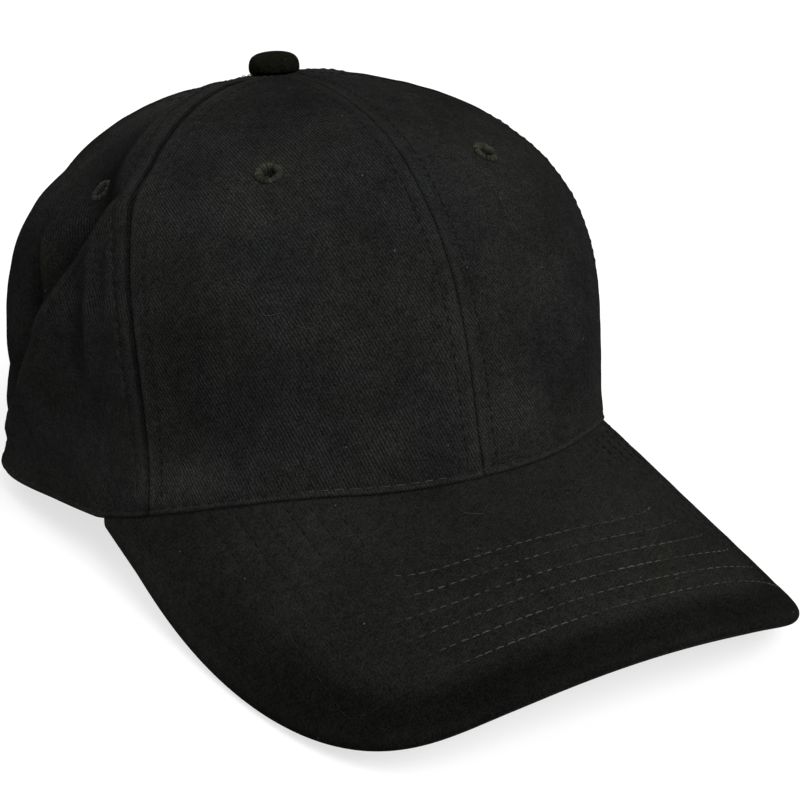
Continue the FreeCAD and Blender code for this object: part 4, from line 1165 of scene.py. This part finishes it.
def make_button():
    """Cloth-covered button: a low dome on a short skirt whose cloth is gathered underneath."""
    columns, rows = 128, 64
    # (radius, height above the crown's top) from under the skirt, out round it and up to the middle
    outline = np.array([(5.4, 0.25), (6.9, 0.15), (7.55, 0.55), (7.8, 1.5), (7.8, 2.9), (7.45, 4.2),
                        (6.6, 5.35), (5.1, 6.15), (3.1, 6.6), (1.2, 6.78), (0.05, 6.8)])
    smooth = smooth_route(outline, rows, 1.2)
    turn, row = np.meshgrid(np.linspace(0, 2 * math.pi, columns, endpoint=False), np.arange(rows),
                            indexing="ij")
    radius, height = smooth[row, 0], smooth[row, 1]
    low = 1 - smooth_step(height, 0.4, 3.2)
    gather = 0.16 * np.cos(turn * 13 + 1.5 * np.sin(turn * 2)) * low
    soft = 0.10 * np.sin(turn * 2 + 0.6) + 0.05 * np.sin(turn * 5 + height)
    radius = radius + (gather + soft) * smooth_step(radius, 0.0, 6.0)
    local = np.stack([radius * np.cos(turn), radius * np.sin(turn), height], axis=-1)
    outer = local + np.array([0.0, CROWN_TOP_BACK, CROWN_HEIGHT])
    uv = np.stack([local[..., 0] + 0.4 * local[..., 2], local[..., 1] + 0.3 * local[..., 2]], axis=-1)
    quads = grid_quads(columns, rows, wrap_columns=True)
    under = outer - np.stack([np.cos(turn) * 0.7, np.sin(turn) * 0.7, np.full(turn.shape, 0.35)], axis=-1)
    under[:, -1] = outer[:, -1] - np.array([0.0, 0.0, 0.6])
    count = columns * rows
    faces = np.concatenate([quads, quads[:, ::-1] + count, closing_walls(quads, count)])
    points = np.concatenate([outer.reshape(-1, 3), under.reshape(-1, 3)])
    obj = make_object("button_cover_cloth", points, faces, np.tile(uv.reshape(-1, 2), (2, 1)))
    return finish_piece(obj, button_cloth, "cap", ["button_cover"])


make_button()

# ---------------------------------------------------------------- visor


def visor_point(across, along, depth):
    """Point of the visor below its face; along runs forwards from the hem's front centre."""
    slope, pitch = visor_slope(across), math.radians(VISOR_PITCH)
    rise = -visor_drop(across) - depth * np.cos(slope)
    return np.stack([across - depth * np.sin(slope),
                     -RING_FRONT_REACH - along * math.cos(pitch) - rise * math.sin(pitch),
                     hem_height(0.0) - along * math.sin(pitch) + rise * math.cos(pitch)], axis=-1)


def visor_inner(angle, inward=0.0):
    """Where the hem meets the visor's face, as (across, along)."""
    across, back = ring_point(angle)
    pitch = math.radians(VISOR_PITCH)
    climb = hem_height(angle) - hem_height(0.0)
    along = -(back + RING_FRONT_REACH) * math.cos(pitch) - climb * math.sin(pitch)
    return across * (1 - inward / RING_HALF_WIDTH), along - inward * np.cos(angle) ** 2


VISOR_CORNER = VISOR_CORNER_PLACE * float(visor_inner(math.radians(VISOR_END_ANGLE))[1])


def visor_curve(across_share, inset):
    """(across, along) of the visor's rounded front, at an inset from its free edge."""
    across = np.sin(across_share * math.pi / 2)
    reach = VISOR_LENGTH - inset - VISOR_CORNER
    along = VISOR_CORNER + reach * (1 - np.abs(across) ** VISOR_CORNER_POWER) ** VISOR_FRONT_POWER
    return (VISOR_WIDTH / 2 - inset) * across, along


def visor_outer(share):
    """The visor's free edge, for share -1 to 1: straight sides, then a round-cornered front."""
    end_across, end_along = visor_inner(math.radians(VISOR_END_ANGLE))
    front_share = np.clip(np.abs(share) / (1 - VISOR_SIDE_PART), 0, 1)
    across, along = visor_curve(front_share, 0.0)
    back_share = np.clip((np.abs(share) - (1 - VISOR_SIDE_PART)) / VISOR_SIDE_PART, 0, 1)
    across = np.where(back_share > 0, mix(VISOR_WIDTH / 2, end_across, back_share), across)
    along = np.where(back_share > 0, mix(VISOR_CORNER, end_along, back_share), along)
    return np.sign(share) * across, along


def line_distance(points, line):
    """Distance from each point to the nearest place on a run of straight segments."""
    start, step = line[:-1], np.diff(line, axis=0)
    share = np.clip(((points[:, None] - start) * step).sum(-1) / (step ** 2).sum(-1), 0, 1)
    return np.linalg.norm(points[:, None] - start - share[..., None] * step, axis=-1).min(axis=1)


def visor_grid():
    columns, rows = 300, 170
    shares = np.linspace(-1, 1, columns) * (1 - 2 * VISOR_END_TRIM)
    share, part = np.meshgrid(shares, crowded(rows, 0.8), indexing="ij")
    inner = visor_inner(share * math.radians(VISOR_END_ANGLE), 1.0)
    outer = visor_outer(share)
    across, along = mix(inner[0], outer[0], part), mix(inner[1], outer[1], part)
    edge = np.stack(visor_outer(np.linspace(-1, 1, 900)), axis=-1)
    distance = np.empty(across.shape)
    for column in range(columns):
        distance[column] = line_distance(np.stack([across[column], along[column]], axis=-1), edge)
    distance[:, -1] = 0.0
    return across, along, distance


def visor_row(number):
    """(across, along) of one stitched row and whether each point is on its front, not its legs.

    A row runs nearly straight along the front, turns a tight corner at each side, and runs back
    into the hem.
    """
    side = VISOR_WIDTH / 2 - VISOR_FIRST_ROW - VISOR_ROW_SIDE_GAP * number
    inset = VISOR_FIRST_ROW + VISOR_ROW_GAP * number
    share = np.linspace(-1, 1, 61)
    _, front = visor_curve(2 / math.pi * np.arcsin(0.68 * np.abs(share)), 0.0)
    corners = np.stack([share * side, front - inset], axis=-1)
    leg = np.linspace(-75.0, corners[0, 1], 40)[:-1]
    legs = [np.stack([np.full(39, sign * side), leg], axis=-1) for sign in (-1, 1)]
    route = smooth_route(np.concatenate([legs[0], corners, legs[1][::-1]]), 900, 11.0)
    hem = visor_inner(np.linspace(-1, 1, 400) * math.radians(VISOR_END_ANGLE))
    clear = route[:, 1] > np.interp(route[:, 0], *hem) + 1.5
    route = route[clear]
    return route[:, 0], route[:, 1], np.abs(route[:, 0]) < side - 0.6


def visor_relief(across, along, distance, quilt):
    """Depth added by the stitched rows, and the wear along the visor's edge."""
    rows = [np.stack(visor_row(number)[:2], axis=-1)[::4] for number in range(VISOR_ROWS)]
    nearest = np.empty(across.shape)
    for column in range(across.shape[0]):
        here = np.stack([across[column], along[column]], axis=-1)
        nearest[column] = np.min([line_distance(here, row) for row in rows], axis=0)
    dent = bell(nearest, 0.75)
    stitched = 1 - smooth_step(nearest, VISOR_ROW_GAP / 2, VISOR_ROW_GAP)
    point = visor_point(across, along, 0.0)
    soft = 0.16 * waves(point, 30.0, 21) + 0.05 * waves(point, 7.0, 22)
    depth = quilt * (0.24 * dent - 0.08 * stitched) + soft * smooth_step(distance, 0.5, 8.0)
    seam_line = 0.12 * bell(distance - 4.2, 0.7)
    return depth + seam_line, bell(distance - 1.6, 1.2)


def make_visor():
    across, along, distance = visor_grid()
    half = VISOR_THICKNESS / 2
    fall = edge_fall(distance, half)
    relief, wear_and_highlight = visor_relief(across, along, distance, 1.0)
    # Painted shade: the unstitched margin is darkened where shade falls on the visor's outer band, less
    # towards the wearer's left.
    # the margin outside the stitched rows is painted darker, to match the photograph's tones
    painted_shade_and_light = 0.52 * (1 - smooth_step(distance, 8.0, 16.0)) * smooth_step(along, -25.0, 45.0)
    painted_shade_and_light = painted_shade_and_light * (1 - 0.5 * smooth_step(across, 30.0, 78.0))
    outer = visor_point(across, along, fall * 0.98 + relief)[::-1]
    uv = np.stack([across, along], axis=-1)[::-1]
    inner = outer - grid_normals(outer) * 0.8
    top = cloth_object("visor_top_cloth_twill", outer, inner, uv, {"wear_and_highlight": wear_and_highlight[::-1], "painted_shade_and_light": painted_shade_and_light[::-1]})
    finish_piece(top, visor_cloth, "cap", ["visor_top_cloth"])

    relief, wear_and_highlight = visor_relief(across, along, distance, 0.8)
    outer = visor_point(across, along, VISOR_THICKNESS - fall * 0.98 - relief)
    inner = outer - grid_normals(outer) * 0.8
    under = cloth_object("visor_under_cloth_twill", outer, inner, np.stack([across, along], axis=-1),
                         {"wear_and_highlight": wear_and_highlight})
    finish_piece(under, visor_cloth, "cap", ["visor_under_cloth"])


def visor_stitching(under):
    parts = []
    for number in range(VISOR_ROWS):
        across, along, in_front = visor_row(number)
        # the thread shows along the front and fades at the wearer's right and on the legs
        wear_and_highlight = mix(0.06, 1.0, smooth_step(across, -52.0, -30.0) * in_front)
        depth = np.full(across.shape, VISOR_THICKNESS - 0.12 if under else 0.12)
        path = visor_point(across, along, depth)
        outward = visor_point(across, along, depth - 1.0) - path
        normal = unit(-outward if under else outward)
        parts.append(stitches(path, normal, VISOR_STITCH_PITCH, radius=0.17, lift=0.15,
                              wear_and_highlight=0.1 * wear_and_highlight if under else wear_and_highlight))
    return parts


make_visor()
finish_piece(joined("visor_top_stitching", visor_stitching(False)), visor_thread, "cap")
finish_piece(joined("visor_under_stitching", visor_stitching(True)), visor_thread, "cap")

# ---------------------------------------------------------------- strap, tab and clasp


def band_edges(run, height, length, width):
    """Distance to the nearest edge of a flat band."""
    return np.minimum(np.minimum(run, length - run), np.minimum(height, width - height))


def make_strap():
    """Adjusting strap: a stitched band of doubled twill, bent round the back of the head."""
    directions = np.radians([90 - STRAP_TAIL_ANGLE, 90 + STRAP_ROOT_ANGLE])
    turn, height = np.meshgrid(np.linspace(*directions, 260), crowded(40, 0.6) * STRAP_HEIGHT,
                               indexing="ij")
    run = (turn - directions[0]) * STRAP_RADIUS
    length = run.max()
    edge = band_edges(run, height, length, STRAP_HEIGHT)
    fall = edge_fall(edge, STRAP_THICKNESS / 2 - 0.02)
    line = 0.16 * bell(edge - 2.3, 0.6)
    ripple = 0.05 * np.sin(run * 1.3 + 1.4 * np.sin(run * 0.27)) * bell(edge - 3.5, 3.0)

    def face(sign):
        radius = (STRAP_RADIUS + sign * (STRAP_THICKNESS / 2 - fall - line)
                  + ripple * smooth_step(edge, 0.5, 2.0))
        return np.stack([radius * np.cos(turn), radius * np.sin(turn), height], axis=-1) + STRAP_CENTRE
    obj = cloth_object("strap_cloth", face(1), face(-1), np.stack([-run, height], axis=-1))
    finish_piece(obj, strap_cloth, "strap", ["strap"])

    parts = []
    inset = 2.3
    ends = directions + np.array([inset, -inset]) / STRAP_RADIUS
    across = np.linspace(*ends, 400)
    up = np.linspace(inset, STRAP_HEIGHT - inset, 60)
    tail_row = 7.0 / STRAP_RADIUS
    routes = [(across, np.full(400, inset)), (across, np.full(400, STRAP_HEIGHT - inset)),
              (np.full(60, ends[0]), up), (np.full(60, ends[0] + tail_row), up)]
    for sign in (1, -1):
        for angles, heights in routes:
            level = np.zeros(len(angles))
            out = np.stack([np.cos(angles), np.sin(angles), level], axis=-1)
            radius = STRAP_RADIUS + sign * (STRAP_THICKNESS / 2 - 0.2)
            place = out * radius + np.stack([level, level, heights], axis=-1) + STRAP_CENTRE
            parts.append(stitches(place, sign * out, SEAM_STITCH_PITCH, **FLAT_STITCH))
    finish_piece(joined("strap_stitching", parts), seam_thread, "strap")


def on_clasp(x, y, z):
    """Points of the clasp's own axes: x along the strap to the wearer's left, y outwards, z up."""
    lean = math.radians(CLASP_ANGLE)
    out = y + STRAP_RADIUS
    return np.stack([x * math.cos(lean) + out * math.sin(lean), out * math.cos(lean) - x * math.sin(lean),
                     z + STRAP_HEIGHT / 2], axis=-1) + STRAP_CENTRE


def tab_route():
    """Middle line of the tab's cloth, in plan on the clasp's axes: in from the hem, round the
    clasp's bar, and back beside itself."""
    turns = np.radians(np.linspace(TAB_END_ANGLE, CLASP_ANGLE + 9.5, 26) - CLASP_ANGLE)
    layers = [np.stack([radius * np.sin(turns), radius * np.cos(turns) - STRAP_RADIUS], axis=-1)
              for radius in (TAB_OUTER_RADIUS - TAB_CLOTH / 2, TAB_OUTER_RADIUS - 1.5 * TAB_CLOTH)]
    round_bar = np.array([(9.9, -1.95), (8.2, -1.9), (7.2, -2.05), (6.85, -3.0), (7.2, -3.95), (8.2, -4.1),
                          (9.4, -4.0), (10.4, -3.1)])
    corners = np.concatenate([layers[0], round_bar, layers[1][::-1]])
    return smooth_route(corners, 360, 1.2)


def make_tab():
    """Cloth tab that holds the clasp: one strip looped round the bar, with a boxed row of stitches."""
    route = tab_route()
    ahead = unit(np.gradient(route, axis=0))
    side = np.stack([-ahead[:, 1], ahead[:, 0]], axis=-1)
    height = crowded(26, 0.7) * TAB_WIDTH - TAB_WIDTH / 2
    run = along_path(route)
    fall = edge_fall(np.minimum(TAB_WIDTH / 2 - np.abs(height), TAB_WIDTH), TAB_CLOTH / 2 - 0.02)[None, :]
    grids = []
    for sign in (-1, 1):
        offset = sign * (TAB_CLOTH / 2 - fall)
        x = route[:, :1] + side[:, :1] * offset
        y = route[:, 1:] + side[:, 1:] * offset
        grids.append(on_clasp(x, y, np.broadcast_to(height, x.shape)))
    uv = np.stack(np.meshgrid(run, height, indexing="ij"), axis=-1)
    obj = cloth_object("buckle_tab_cloth", grids[1], grids[0], uv)
    finish_piece(obj, strap_cloth, "cap", ["buckle_tab"])

    parts = []
    for face_radius, sign in ((TAB_OUTER_RADIUS, 1), (TAB_OUTER_RADIUS - 2 * TAB_CLOTH, -1)):
        for degrees in (32.0, 34.5):
            up = np.linspace(-TAB_WIDTH / 2 + 1.5, TAB_WIDTH / 2 - 1.5, 40)
            turn = np.full(40, math.radians(degrees - CLASP_ANGLE))
            parts.append(tab_stitches(turn, up, face_radius, sign))
        for edge in (-1, 1):
            turn = np.radians(np.linspace(34.5, TAB_END_ANGLE - 0.5, 60) - CLASP_ANGLE)
            parts.append(tab_stitches(turn, np.full(60, edge * (TAB_WIDTH / 2 - 1.5)), face_radius, sign))
    finish_piece(joined("buckle_tab_stitching", parts), seam_thread, "cap")


def tab_stitches(turn, up, radius, sign):
    """Stitches on the tab's outer (sign 1) or inner (-1) face, along directions and heights."""
    reach = radius - 0.06 * sign
    path = on_clasp(reach * np.sin(turn), reach * np.cos(turn) - STRAP_RADIUS, up)
    away = on_clasp((reach + sign) * np.sin(turn), (reach + sign) * np.cos(turn) - STRAP_RADIUS, up)
    return stitches(path, unit(away - path), 2.6, **FLAT_STITCH)


def finish_carried_nodes():
    """Materials, and softened edges on the hard parts, of the CAD nodes that stay."""
    looks = {"buckle_frame": (clasp_metal, 0.3), "buckle_lever": (clasp_metal, 0.35),
             "buckle_pin": (clasp_metal, 0.15), "button_shell": (button_metal, 0.0),
             "button_rivet": (rivet_metal, 0.2), "button_backing": (rivet_metal, 0.3),
             "visor_board": (board_plastic, 0.0)}
    for name, (material, width) in looks.items():
        obj = frame["nodes"][name]
        obj.data.materials[0] = material
        if width:
            bevel = obj.modifiers.new("soft_edges", "BEVEL")
            bevel.width, bevel.segments, bevel.limit_method = width * MM, 3, "ANGLE"
            bevel.angle_limit = math.radians(40)


make_strap()
make_tab()
finish_carried_nodes()

# ---------------------------------------------------------------- lint


def fibre(path, normals, radius):
    """One loose fibre: a closed thin tube that lies along a path."""
    ahead = unit(np.gradient(path, axis=0))
    side = unit(np.cross(ahead, normals))
    girth = np.full((1, len(path), 2), radius)
    girth[:, [0, -1]] *= 0.4
    return tubes(path[None], side[None], np.cross(side, ahead)[None], girth)


def make_lint():
    """A squiggle of thread on the front panel, and short fibres here and there."""
    squiggle = np.array([(-41.3, 0.42), (-39.0, 0.405), (-37.8, 0.375), (-36.4, 0.352), (-35.0, 0.352),
                         (-33.3, 0.355), (-31.6, 0.336), (-30.6, 0.327), (-28.6, 0.320), (-27.2, 0.326),
                         (-26.0, 0.343), (-24.2, 0.344), (-23.0, 0.325), (-21.0, 0.310), (-19.4, 0.291),
                         (-20.0, 0.283), (-19.2, 0.271)])
    route = smooth_route(squiggle * (math.radians(1), 1), 160, 0.02)
    angle, rise = route.T
    parts = [fibre(crown_surface(angle, rise, 0.2), crown_normal(angle, rise), 0.07)]
    for _ in range(46):
        angle, rise = rng.uniform(-math.pi, math.pi), rng.uniform(0.12, 0.9)
        heading, length, curl = rng.uniform(0, 2 * math.pi), rng.uniform(1.0, 3.2), rng.uniform(-1.5, 1.5)
        share = np.linspace(0, 1, 14)
        lean = heading + curl * share
        angles = angle + np.cumsum(np.cos(lean)) * length / 14 / crown_radius(angle, rise)
        rises = rise + np.cumsum(np.sin(lean)) * length / 14 / (1.4 * CROWN_HEIGHT)
        if arch_distance(crown_point(angles, rises)).min() < 3:
            continue
        parts.append(fibre(crown_surface(angles, rises, 0.16), crown_normal(angles, rises), 0.05))
    finish_piece(joined("crown_lint", parts), lint_fibre, "cap")
    bent = smooth_route(np.array([(-13.4, 7.5), (-13.0, 9.9), (-11.1, 11.2), (-8.1, 12.4)]), 40, 1.0)
    path = visor_point(bent[:, 0], bent[:, 1], np.full(40, -0.1))
    fluff = fibre(path, visor_point(bent[:, 0], bent[:, 1], np.full(40, -1.1)) - path, 0.09)
    finish_piece(joined("visor_lint", [fluff]), lint_fibre, "cap")


make_lint()

# ---------------------------------------------------------------- camera, light and floor


CAMERA_AZIMUTH, CAMERA_ELEVATION, CAMERA_ROLL = -30.71, 21.79, 0.64
CAMERA_TARGET, CAMERA_DISTANCE = Vector((0.0211, 0.0146, 0.0289)), 0.49825
CAMERA_LENS, CAMERA_SENSOR = 71.41, 36.0
FLOOR_REACH, FLOOR_GREY, FLOOR_GLOW, ROOM_LIGHT = 4.0, 0.26, 0.7, 0.08


def direction(azimuth, elevation):
    """Unit vector out from the cap; azimuth runs from the front to the wearer's left."""
    azimuth, elevation = math.radians(azimuth), math.radians(elevation)
    return Vector((math.sin(azimuth) * math.cos(elevation), -math.cos(azimuth) * math.cos(elevation),
                   math.sin(elevation)))


def make_camera():
    """Camera in front of the cap on the wearer's right, looking down on it."""
    back = direction(CAMERA_AZIMUTH, CAMERA_ELEVATION)
    data = bpy.data.cameras.new("camera")
    data.lens, data.sensor_width = CAMERA_LENS, CAMERA_SENSOR
    data.clip_start, data.clip_end = 0.01, 20.0
    camera = bpy.data.objects.new("camera", data)
    camera.location = CAMERA_TARGET + back * CAMERA_DISTANCE
    turn = (-back).to_track_quat("-Z", "Y").to_matrix() @ Matrix.Rotation(math.radians(CAMERA_ROLL), 3, "Z")
    camera.rotation_euler = turn.to_euler()
    bpy.context.scene.collection.objects.link(camera)
    bpy.context.scene.camera = camera


def make_light(name, azimuth, elevation, spread, strength):
    """Broad, even light from a direction; azimuth runs from the front to the wearer's left."""
    toward = direction(azimuth, elevation)
    data = bpy.data.lights.new(name, "SUN")
    data.angle, data.energy = math.radians(spread), strength
    lamp = bpy.data.objects.new(name, data)
    lamp.location = toward
    lamp.rotation_euler = (-toward).to_track_quat("-Z", "Y").to_euler()
    bpy.context.scene.collection.objects.link(lamp)


def make_floor():
    """A flat pale floor that glows a little, so that it looks as white as the photograph's ground."""
    mesh = bpy.data.meshes.new("floor")
    reach = FLOOR_REACH
    mesh.from_pydata([(-reach, -reach, 0), (reach, -reach, 0), (reach, reach, 0), (-reach, reach, 0)], [],
                     [(0, 1, 2, 3)])
    floor = bpy.data.objects.new("floor", mesh)
    graph = Graph("floor_white")
    shade = graph.remap(graph.noise(3.0), 0, 1, 0.98, 1.02)
    floor.data.materials.append(graph.finish(
        base_color=graph.tint((FLOOR_GREY,) * 3, shade), roughness=0.9,
        emission_color=rgb(1.0, 1.0, 1.0), emission_strength=FLOOR_GLOW))
    bpy.context.scene.collection.objects.link(floor)


def make_surroundings():
    """A dim even room that shows as plain white behind the floor's far edge."""
    world = bpy.data.worlds.new("white_room")
    world.use_nodes = True
    nodes, links = world.node_tree.nodes, world.node_tree.links
    shown, lighting = nodes["Background"], nodes.new("ShaderNodeBackground")
    shown.inputs["Color"].default_value = lighting.inputs["Color"].default_value = (1.0, 1.0, 1.0, 1.0)
    shown.inputs["Strength"].default_value = 1.0
    lighting.inputs["Strength"].default_value = ROOM_LIGHT
    choice = nodes.new("ShaderNodeMixShader")
    links.new(nodes.new("ShaderNodeLightPath").outputs["Is Camera Ray"], choice.inputs["Fac"])
    links.new(lighting.outputs[0], choice.inputs[1])
    links.new(shown.outputs[0], choice.inputs[2])
    links.new(choice.outputs[0], nodes["World Output"].inputs["Surface"])
    bpy.context.scene.world = world
    bpy.context.scene.view_settings.view_transform = "Standard"


make_camera()
make_light("key", 12.0, 44.0, 40.0, 4.6)
make_light("rear", 205.0, 36.0, 60.0, 1.7)
make_light("top", 0.0, 88.0, 70.0, 0.6)
make_floor()
make_surroundings()
